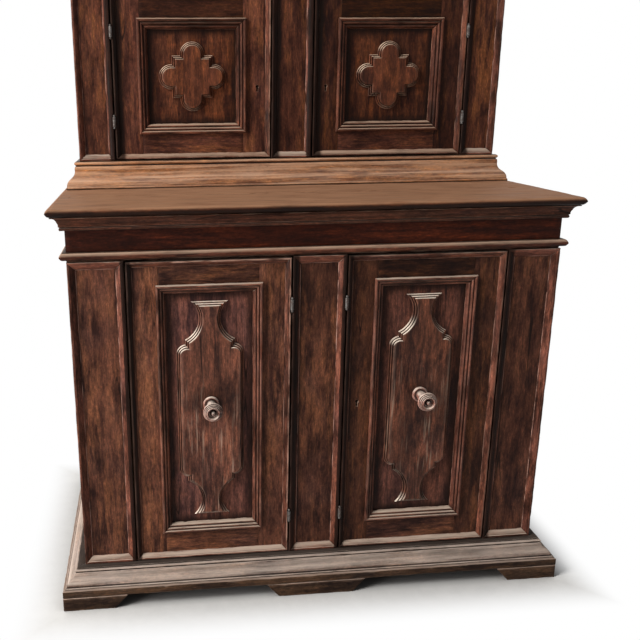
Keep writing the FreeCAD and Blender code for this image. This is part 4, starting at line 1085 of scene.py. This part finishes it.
def cartouche_outline(half_width, half_height):
    """The cartouche's outline drawn in by an inset.

    Each side line moves in by the inset, the hollow neck's arc grows by it and the round
    shoulder's arc shrinks by it. Their crossings are worked out again at each inset."""
    tip, neck, shoulder, step, side = np.array(CARTOUCHE_SHARES) * (half_width, half_height)
    neck_centre, neck_radius = circle_through(tip, neck, shoulder)
    across, up = side[0] - step[0], step[1] - side[1]
    bow_radius = (across ** 2 + up ** 2) / (2 * across)
    bow_centre = np.array([side[0] - bow_radius, side[1]])
    points = CARTOUCHE_POINTS

    def outline(inset):
        grown, shrunk = neck_radius + inset, bow_radius - inset
        top_z, step_x, side_x = half_height - inset, step[0] - inset, side[0] - inset
        rise = top_z - neck_centre[1]
        tip_x = neck_centre[0] - math.sqrt(grown ** 2 - rise ** 2)
        reach = step_x - neck_centre[0]
        shoulder_z = neck_centre[1] - math.sqrt(grown ** 2 - reach ** 2)
        lean = step_x - bow_centre[0]
        step_z = bow_centre[1] + math.sqrt(shrunk ** 2 - lean ** 2)
        first = math.atan2(shoulder_z - neck_centre[1], reach) + 2 * math.pi
        last = math.atan2(rise, tip_x - neck_centre[0])
        quarter = np.concatenate([
            line((side_x, 0), (side_x, bow_centre[1]), points["side"])[:-1],
            arc(bow_centre, shrunk, 0, math.atan2(step_z - bow_centre[1], lean), points["bow"])[:-1],
            line((step_x, step_z), (step_x, shoulder_z), points["step"])[:-1],
            arc(neck_centre, grown, first, last, points["neck"])[:-1],
            line((tip_x, top_z), (0, top_z), points["top"])])
        return round_from_quarter(quarter)
    return outline


def round_from_quarter(quarter):
    """A closed outline from its quarter, anticlockwise from the bottom of its middle line."""
    right = np.concatenate([(quarter * (1, -1))[::-1][:-1], quarter])
    left = (right * (-1, 1))[::-1]
    return np.concatenate([right[:-1], left[:-1]])


def quatrefoil_outline(half_width):
    """The quatrefoil's outline drawn in by an inset: lobes shrink, and straight sides move in."""
    lobe = 2 * QUATREFOIL_LOBE_SHARE * half_width
    square = QUATREFOIL_SQUARE_SHARE * half_width
    reach = half_width - lobe

    def outline(inset):
        radius, corner = lobe - inset, square - inset
        eighth = np.concatenate([
            arc((reach, 0), radius, 0, math.pi / 2, 22)[:-1],
            line((reach, radius), (corner, radius), 3)[:-1],
            line((corner, radius), (corner, corner), 6)])
        mirrored = eighth[:, ::-1][::-1]
        return round_from_quarter(np.concatenate([eighth[:-1], mirrored]))
    return outline


def rim_rows(outline, rise, tone):
    """A reeded rim: row by row, the outline is drawn in and lifted off the panel.

    It returns the rows of points, their heights and their marks: arris on the reeds' crowns, recess
    in the quirks between them."""
    reed, crowns = settings().reed_width, 2
    step = rise / (crowns + 1)
    first, last = np.array(REED_SHARES), np.array(LAST_REED_SHARES)
    level = np.repeat(np.arange(crowns), len(first))
    share = np.tile(first, (crowns, 1))
    inset = np.concatenate([[0], (level + share[:, 0]) * reed, (crowns + last[:, 0]) * reed])
    height = np.concatenate([[-MM], (level + share[:, 1]) * step, (crowns + last[:, 1]) * step])
    section = np.stack([inset, height], 1)
    closed = np.concatenate([section, [(inset[-1], -20 * MM), (0, -20 * MM)]])[::-1]
    _, arris, recess = corners_of(closed, *CARVING_REACHES)
    rows = np.stack([outline(k) for k in inset])
    one = np.ones(rows.shape[:2])
    marks = [arris[::-1][:len(inset), None] * one, recess[::-1][:len(inset), None] * one, tone * one]
    return rows, height, np.stack(marks, -1)


def place_on_door(rings, height, middle, seat_y, shift, depth):
    """Points of a carving on its door, sunk a little by a smooth wave, and their grain places."""
    flat = np.stack([rings[..., 1], rings[..., 0], 0 * rings[..., 0] + height], -1)
    sink = depth * np.clip(1 + ripple(flat + shift, CARVING_WAVE_LENGTH, 5), 0, None) * 0.5
    place = np.stack([middle[0] + rings[..., 0], seat_y - height + sink, middle[1] + rings[..., 1]], -1)
    return place, flat + shift


def carving_site(door, node):
    """Half width, half height, middle, seat plane and rise of a carving."""
    (x0, x1), (y0, y1), (z0, z1) = span(door + "_" + node)
    return (x1 - x0) / 2, (z1 - z0) / 2, ((x0 + x1) / 2, (z0 + z1) / 2), y1, y1 - y0


def make_cartouches():
    """The vase-like carvings of the lower doors, with three-reed rims and plain fields."""
    for seed, side in enumerate(SIDES, 103):
        door = "lower_door_" + side
        half_width, half_height, middle, seat, rise = carving_site(door, "cartouche")
        skin = Skin(seed)
        shift, tone = skin.shift(), tone_of(door, "carving")
        rows, height, marks = rim_rows(cartouche_outline(half_width, half_height), rise, tone)
        place, grain = place_on_door(rows, height[:, None], middle, seat, shift, 0.4 * MM)
        index = skin.add_rings(place, grain, marks, True, (True, False))
        knob = span(door + "_knob")[2]
        site = (height[-1], middle, seat, shift, 0.9 * MM)
        add_field(skin, index[-1], rows[-1], site, tone, sum(knob) / 2 - middle[1], UPPER_FIELD_DARKENING[side])
        put(skin, door + "_carved_cartouche", door, "carved_walnut", "walnut_panel", door + "_cartouche")


def add_field(skin, rim, ring, site, tone, knob_height, darkening_above):
    """The field inside a cartouche's rim: rows from each point on the right to its mirror image.

    The field is darker round the knob and, less, above it."""
    count, reach = len(rim), CARTOUCHE_POINTS["top"] - 1
    right = np.arange(reach, count // 2 - reach + 1)
    left = (count - right) % count
    columns = 2 * reach + 1
    t = np.linspace(-1, 1, columns)
    inner = ring[right[1:-1], None, :] * np.stack([t[1:-1], np.ones(columns - 2)], -1)
    place, grain = place_on_door(inner, *site)
    up = inner[..., 1] - knob_height
    # The field darkens round the knob and, less, above it.
    darkening = 0.30 * np.exp(-(inner[..., 0] ** 2 + up ** 2) / KNOB_DARKENING_REACH ** 2)
    darkening += darkening_above / (1 + np.exp(-up / UPPER_FIELD_DARKENING_REACH))
    marks = np.stack([0 * darkening, darkening, 0 * darkening + tone], -1)
    index = np.empty((len(right), columns), int)
    index[1:-1, 1:-1] = skin.add_points(place, grain, marks)
    index[:, 0], index[:, -1] = rim[left], rim[right]
    index[0] = rim[np.arange(-reach, reach + 1) % count]
    index[-1] = rim[np.arange(count // 2 + reach, count // 2 - reach - 1, -1)]
    skin.quads.append(grid_quads(index))


def make_quatrefoils():
    """The four-lobed carvings of the upper doors. Inside the rim, rings shrink to the middle."""
    for seed, side in enumerate(SIDES, 111):
        door = "upper_door_" + side
        half_width, _, middle, seat, rise = carving_site(door, "quatrefoil")
        skin = Skin(seed)
        shift, tone = skin.shift(), tone_of(door, "carving")
        rows, height, marks = rim_rows(quatrefoil_outline(half_width), rise, tone)
        scale = np.linspace(1, 0.03, 14)[1:, None, None]
        rows = np.concatenate([rows, rows[-1:] * scale])
        height = np.concatenate([height, np.full(len(scale), height[-1])])
        marks = np.concatenate([marks, np.zeros((len(scale), *marks.shape[1:])) + (0, 0, tone)])
        place, grain = place_on_door(rows, height[:, None], middle, seat, shift, 0.6 * MM)
        skin.add_rings(place, grain, marks, True)
        put(skin, door + "_carved_quatrefoil", door, "quatrefoil_walnut", "walnut_panel",
            door + "_quatrefoil")


def make_knobs():
    """Turned knobs: the profile carried round the knob's axis, a little out of true."""
    for seed, side in enumerate(SIDES, 121):
        door = "lower_door_" + side
        (x0, x1), (y0, _), (z0, z1) = span(door + "_knob")
        seat = span(door + "_cartouche")[1][0]
        radius, length = (x1 - x0) / 2, seat - y0
        loop = profile(KNOB_SHARES, radius, length, 6)
        loop[:, 1] = np.minimum(loop[:, 1], length)
        mirror = (loop * (-1, 1))[::-1]
        _, arris, recess = corners_of(np.concatenate([loop, mirror]), *KNOB_REACHES)
        rows, columns = len(loop), 72
        # The boss at the tip is marked rubbed and never hollow: wear, and a painted highlight on the knob.
        boss = loop[:, 0] < 0.14 * radius
        arris[:rows][boss], recess[:rows][boss] = 1, 0
        angle = np.arange(columns) * 2 * np.pi / columns
        skin = Skin(seed)
        spot = np.stack([loop[:, 1, None] + 0 * angle, loop[:, 0, None] * np.cos(angle),
                         loop[:, 0, None] * np.sin(angle)], -1)
        shift = skin.shift()
        true = 1 - 0.012 * np.clip(1 + ripple(spot + shift, KNOB_WAVE_LENGTH, 4), 0, None)
        place = np.stack([(x0 + x1) / 2 + spot[..., 1] * true, seat - spot[..., 0],
                          (z0 + z1) / 2 + spot[..., 2] * true], -1)
        one = np.ones((rows, columns))
        marks = np.stack([arris[:rows, None] * one, recess[:rows, None] * one, 0 * one], -1)
        skin.add_rings(place, spot + shift, marks, True)
        put(skin, door + "_turned_knob", door, "knob_walnut", "walnut_knob", door + "_knob")


def make_ironwork():
    """Finish of the hinges, lock cases and bolts, which stay as the frame has them."""
    dress("case_hinges", "old_iron")
    for door in DOORS:
        dress(door + "_hinge_leaves", "old_iron")
    for side in SIDES:
        for part in ("lock_case", "lock_bolt"):
            dress("upper_door_" + side + "_" + part, "old_iron")


def make_camera():
    """The camera of the photograph: place, pitch down, yaw to the right, roll and shifted axis."""
    place = (-0.3708, -1.8201, 1.1536)
    pitch, yaw, roll = 0.26097, 0.09098, -0.01124
    width, focal, axis_x, axis_y = 640, 734.66, 216.92, 298.15
    sensor = 36
    level = np.array([math.sin(yaw), math.cos(yaw), 0])
    right = np.array([math.cos(yaw), -math.sin(yaw), 0])
    ahead = math.cos(pitch) * level - math.sin(pitch) * Z
    up = math.sin(pitch) * level + math.cos(pitch) * Z
    right, up = (math.cos(roll) * right + math.sin(roll) * up,
                 math.cos(roll) * up - math.sin(roll) * right)
    turn = np.eye(4)
    turn[:3, :3] = np.stack([right, up, -ahead], 1)
    turn[:3, 3] = place
    data = bpy.data.cameras.new("camera")
    camera = bpy.data.objects.new("camera", data)
    bpy.context.scene.collection.objects.link(camera)
    camera.matrix_world = Matrix(turn.tolist())
    data.sensor_width = sensor
    data.lens = sensor * focal / width
    data.shift_x = (width / 2 - axis_x) / width
    data.shift_y = (axis_y - width / 2) / width
    bpy.context.scene.camera = camera


def make_lamp(name, place, target, size, power, colour):
    """A square soft lamp that faces a target."""
    data = bpy.data.lights.new(name, "AREA")
    data.shape, data.size, data.energy, data.color = "SQUARE", size, power, colour
    lamp = bpy.data.objects.new(name, data)
    bpy.context.scene.collection.objects.link(lamp)
    way = np.subtract(target, place)
    side = np.cross(way, Z)
    up = np.cross(side, way)
    turn = np.eye(4)
    turn[:3, :3] = np.stack([v / np.linalg.norm(v) for v in (side, up, -way)], 1)
    turn[:3, 3] = place
    lamp.matrix_world = Matrix(turn.tolist())


def background_rays(shader):
    """1 for the rays that show the background: those of the camera, of reflections and through glass."""
    path = shader.node("LightPath").outputs
    seen = shader.sum("MAXIMUM", path["Is Camera Ray"], path["Is Glossy Ray"])
    return shader.sum("MAXIMUM", seen, path["Is Transmission Ray"])


def make_floor():
    """A pale floor that keeps the cupboard's shadow, with painted shade where an ambient occlusion node
    finds it hemmed in, and fades to the white of the background.
    """
    size, cells = 14.0, 2
    line_x = np.linspace(-size, size, cells + 1)
    grid = np.stack([*np.meshgrid(line_x, line_x), np.zeros((cells + 1,) * 2)], -1).reshape(-1, 3)
    quads = grid_quads(np.arange((cells + 1) ** 2).reshape(cells + 1, cells + 1))
    mesh = bpy.data.meshes.new("floor")
    mesh.from_pydata(grid.tolist(), [], quads.tolist())
    floor = bpy.data.objects.new("floor", mesh)
    bpy.context.scene.collection.objects.link(floor)
    s = Shader(bpy.data.materials.new("pale_floor"))
    place = s.node("TexCoord").outputs["Object"]
    parts = s.node("SeparateXYZ", {0: place}).outputs
    past_side = s.sum("SUBTRACT", s.sum("ABSOLUTE", parts[0]), 0.6)
    past_front = s.sum("SUBTRACT", s.sum("ABSOLUTE", parts[1]), 0.32)
    seen = background_rays(s)
    fade = s.times(s.between(s.sum("MAXIMUM", past_side, past_front), -0.01, 0.12), seen)
    grey = s.mix(s.between(s.noise(place, (30, 30, 30), 4, 0.6), 0.3, 0.7), srgb("CFCECC"), srgb("D6D5D3"))
    # Painted contact shade: the floor's colour darkens where an ambient occlusion node finds it closed in.
    open_sky = s.node("AmbientOcclusion", {"Distance": 0.4}).outputs["AO"]
    grey = s.mix(s.between(open_sky, 0.2, 0.9), srgb("8E8D8C"), grey)
    diffuse = s.node("BsdfDiffuse", {"Color": grey})
    white = s.node("Emission", {"Color": (1, 1, 1, 1), "Strength": 1.0})
    both = s.node("MixShader", {0: fade, 1: diffuse.outputs[0], 2: white.outputs[0]})
    s.node("OutputMaterial", {"Surface": both.outputs[0]})
    mesh.materials.append(s.owner)


def make_world(strength):
    """White for the camera, for reflections and through glass, and a soft even light otherwise."""
    world = bpy.data.worlds.new("studio")
    bpy.context.scene.world = world
    s = Shader(world)
    light = s.node("Background", {"Color": (1, 1, 1, 1), "Strength": strength})
    white = s.node("Background", {"Color": (1, 1, 1, 1), "Strength": 1.0})
    blend = s.node("MixShader", {0: background_rays(s), 1: light.outputs[0], 2: white.outputs[0]})
    s.node("OutputWorld", {"Surface": blend.outputs[0]})


def make_stage():
    """Floor, background, lamps and camera."""
    make_camera()
    make_floor()
    s = settings()
    make_world(s.sky_strength)
    make_lamp("key_lamp", (-5.5, -2.6, 5.2), (0, -0.1, 0.8), 2.2, s.key_power, (1.0, 0.985, 0.96))
    make_lamp("window_lamp", (-2.4, -1.2, 0.8), (0, -0.2, 0.6), 1.1, s.window_power, (1.0, 0.97, 0.94))
    make_lamp("fill_lamp", (2.4, -2.6, 1.6), (0, 0, 0.7), 2.0, s.fill_power, (0.97, 0.98, 1.0))
    bpy.context.scene.view_settings.view_transform = "Standard"


class CupboardSettings(bpy.types.PropertyGroup):
    """Sizes, colours and light that a user would change."""

    wear_depth: bpy.props.FloatProperty(
        name="Wear depth", description="How deep the arrises are rubbed away", default=0.0005,
        min=0.0, max=0.003, unit="LENGTH", subtype="DISTANCE", precision=4)
    reed_width: bpy.props.FloatProperty(
        name="Reed width", description="Width of one reed in the rims of the carvings", default=0.004,
        min=0.002, max=0.005, unit="LENGTH", subtype="DISTANCE", precision=4)
    # The wax colour is also the colour of the painted shade in gaps, hollows and under the top's nose.
    wax_and_shade_colour: bpy.props.FloatVectorProperty(
        name="Wax", description="Colour of the old wax and dirt in the corners", default=srgb("120A07"),
        size=4, min=0.0, max=1.0, subtype="COLOR")
    iron_colour: bpy.props.FloatVectorProperty(
        name="Iron", description="Colour of the hinges and locks where they are rubbed",
        default=srgb("5F5B58"), size=4, min=0.0, max=1.0, subtype="COLOR")
    key_power: bpy.props.FloatProperty(
        name="Key lamp", description="Power of the lamp above the left front", default=720.0, min=0.0,
        unit="POWER")
    window_power: bpy.props.FloatProperty(
        name="Window lamp", description="Power of the lamp at the left", default=46.0, min=0.0,
        unit="POWER")
    fill_power: bpy.props.FloatProperty(
        name="Fill lamp", description="Power of the lamp at the right front", default=4.0, min=0.0,
        unit="POWER")
    sky_strength: bpy.props.FloatProperty(
        name="Sky", description="Strength of the even light from all round", default=0.11, min=0.0,
        subtype="FACTOR")


class CUPBOARD_OT_feet(bpy.types.Operator):
    """Make the bracket feet and the block feet"""

    bl_idname = "cupboard.feet"
    bl_label = "Feet"

    def execute(self, context):
        make_feet()
        return {"FINISHED"}


class CUPBOARD_OT_base_boards(bpy.types.Operator):
    """Make the flat boards under the case"""

    bl_idname = "cupboard.base_boards"
    bl_label = "Base boards"

    def execute(self, context):
        make_base_boards()
        return {"FINISHED"}


class CUPBOARD_OT_case_boards(bpy.types.Operator):
    """Make the sides, pilasters, stiles and friezes"""

    bl_idname = "cupboard.case_boards"
    bl_label = "Case boards"

    def execute(self, context):
        make_case_boards()
        return {"FINISHED"}


class CUPBOARD_OT_back_planks(bpy.types.Operator):
    """Make the planks of both backs"""

    bl_idname = "cupboard.back_planks"
    bl_label = "Back planks"

    def execute(self, context):
        make_backs()
        return {"FINISHED"}


class CUPBOARD_OT_top_planks(bpy.types.Operator):
    """Make the planks of the serving top and of the roof"""

    bl_idname = "cupboard.top_planks"
    bl_label = "Top planks"

    def execute(self, context):
        make_tops()
        return {"FINISHED"}


class CUPBOARD_OT_case_mouldings(bpy.types.Operator):
    """Make the mouldings that run round both cases"""

    bl_idname = "cupboard.case_mouldings"
    bl_label = "Case mouldings"

    def execute(self, context):
        make_case_mouldings()
        return {"FINISHED"}


class CUPBOARD_OT_rims(bpy.types.Operator):
    """Make the raised rims of the pilasters and stiles"""

    bl_idname = "cupboard.rims"
    bl_label = "Pilaster rims"

    def execute(self, context):
        make_rims()
        return {"FINISHED"}


class CUPBOARD_OT_inside_boards(bpy.types.Operator):
    """Finish the boards inside the cases"""

    bl_idname = "cupboard.inside_boards"
    bl_label = "Inside boards"

    def execute(self, context):
        make_inside()
        return {"FINISHED"}


class CUPBOARD_OT_door_frames(bpy.types.Operator):
    """Make the stiles and rails of the doors, and their keyholes"""

    bl_idname = "cupboard.door_frames"
    bl_label = "Door frames"

    def execute(self, context):
        make_door_frames()
        return {"FINISHED"}


class CUPBOARD_OT_door_mouldings(bpy.types.Operator):
    """Make the rims and panel mouldings of the doors"""

    bl_idname = "cupboard.door_mouldings"
    bl_label = "Door mouldings"

    def execute(self, context):
        make_door_mouldings()
        return {"FINISHED"}


class CUPBOARD_OT_door_panels(bpy.types.Operator):
    """Make the loose panels of the doors"""

    bl_idname = "cupboard.door_panels"
    bl_label = "Door panels"

    def execute(self, context):
        make_panels()
        return {"FINISHED"}


class CUPBOARD_OT_cartouches(bpy.types.Operator):
    """Make the carvings of the lower doors"""

    bl_idname = "cupboard.cartouches"
    bl_label = "Cartouches"

    def execute(self, context):
        make_cartouches()
        return {"FINISHED"}


class CUPBOARD_OT_quatrefoils(bpy.types.Operator):
    """Make the carvings of the upper doors"""

    bl_idname = "cupboard.quatrefoils"
    bl_label = "Quatrefoils"

    def execute(self, context):
        make_quatrefoils()
        return {"FINISHED"}


class CUPBOARD_OT_knobs(bpy.types.Operator):
    """Make the turned knobs"""

    bl_idname = "cupboard.knobs"
    bl_label = "Knobs"

    def execute(self, context):
        make_knobs()
        return {"FINISHED"}


class CUPBOARD_OT_ironwork(bpy.types.Operator):
    """Finish the hinges and the locks"""

    bl_idname = "cupboard.ironwork"
    bl_label = "Ironwork"

    def execute(self, context):
        make_ironwork()
        return {"FINISHED"}


class CUPBOARD_OT_stage(bpy.types.Operator):
    """Make the floor, the background, the lamps and the camera"""

    bl_idname = "cupboard.stage"
    bl_label = "Stage"

    def execute(self, context):
        make_stage()
        return {"FINISHED"}


class CUPBOARD_PT_sidebar(bpy.types.Panel):
    """Settings and steps of the cupboard, in the 3D view's sidebar"""

    bl_idname = "CUPBOARD_PT_sidebar"
    bl_label = "Cupboard"
    bl_space_type = "VIEW_3D"
    bl_region_type = "UI"
    bl_category = "Cupboard"

    def draw(self, context):
        for name in CupboardSettings.__annotations__:
            self.layout.prop(context.scene.cupboard, name)
        for operator in OPERATORS:
            self.layout.operator(operator.bl_idname)


OPERATORS = [
    CUPBOARD_OT_feet,
    CUPBOARD_OT_base_boards,
    CUPBOARD_OT_case_boards,
    CUPBOARD_OT_back_planks,
    CUPBOARD_OT_top_planks,
    CUPBOARD_OT_case_mouldings,
    CUPBOARD_OT_rims,
    CUPBOARD_OT_inside_boards,
    CUPBOARD_OT_door_frames,
    CUPBOARD_OT_door_mouldings,
    CUPBOARD_OT_door_panels,
    CUPBOARD_OT_cartouches,
    CUPBOARD_OT_quatrefoils,
    CUPBOARD_OT_knobs,
    CUPBOARD_OT_ironwork,
    CUPBOARD_OT_stage,
]


def register():
    """Makes the settings, the operators and the panel known."""
    for kind in (CupboardSettings, *OPERATORS, CUPBOARD_PT_sidebar):
        bpy.utils.register_class(kind)
    bpy.types.Scene.cupboard = bpy.props.PointerProperty(type=CupboardSettings)


def unregister():
    """Takes them away again."""
    del bpy.types.Scene.cupboard
    for kind in (CUPBOARD_PT_sidebar, *reversed(OPERATORS), CupboardSettings):
        bpy.utils.unregister_class(kind)


def main():
    """Builds every piece and the stage."""
    register()
    for operator in OPERATORS:
        group, name = operator.bl_idname.split(".")
        getattr(getattr(bpy.ops, group), name)()


if __name__ == "__main__":
    main()
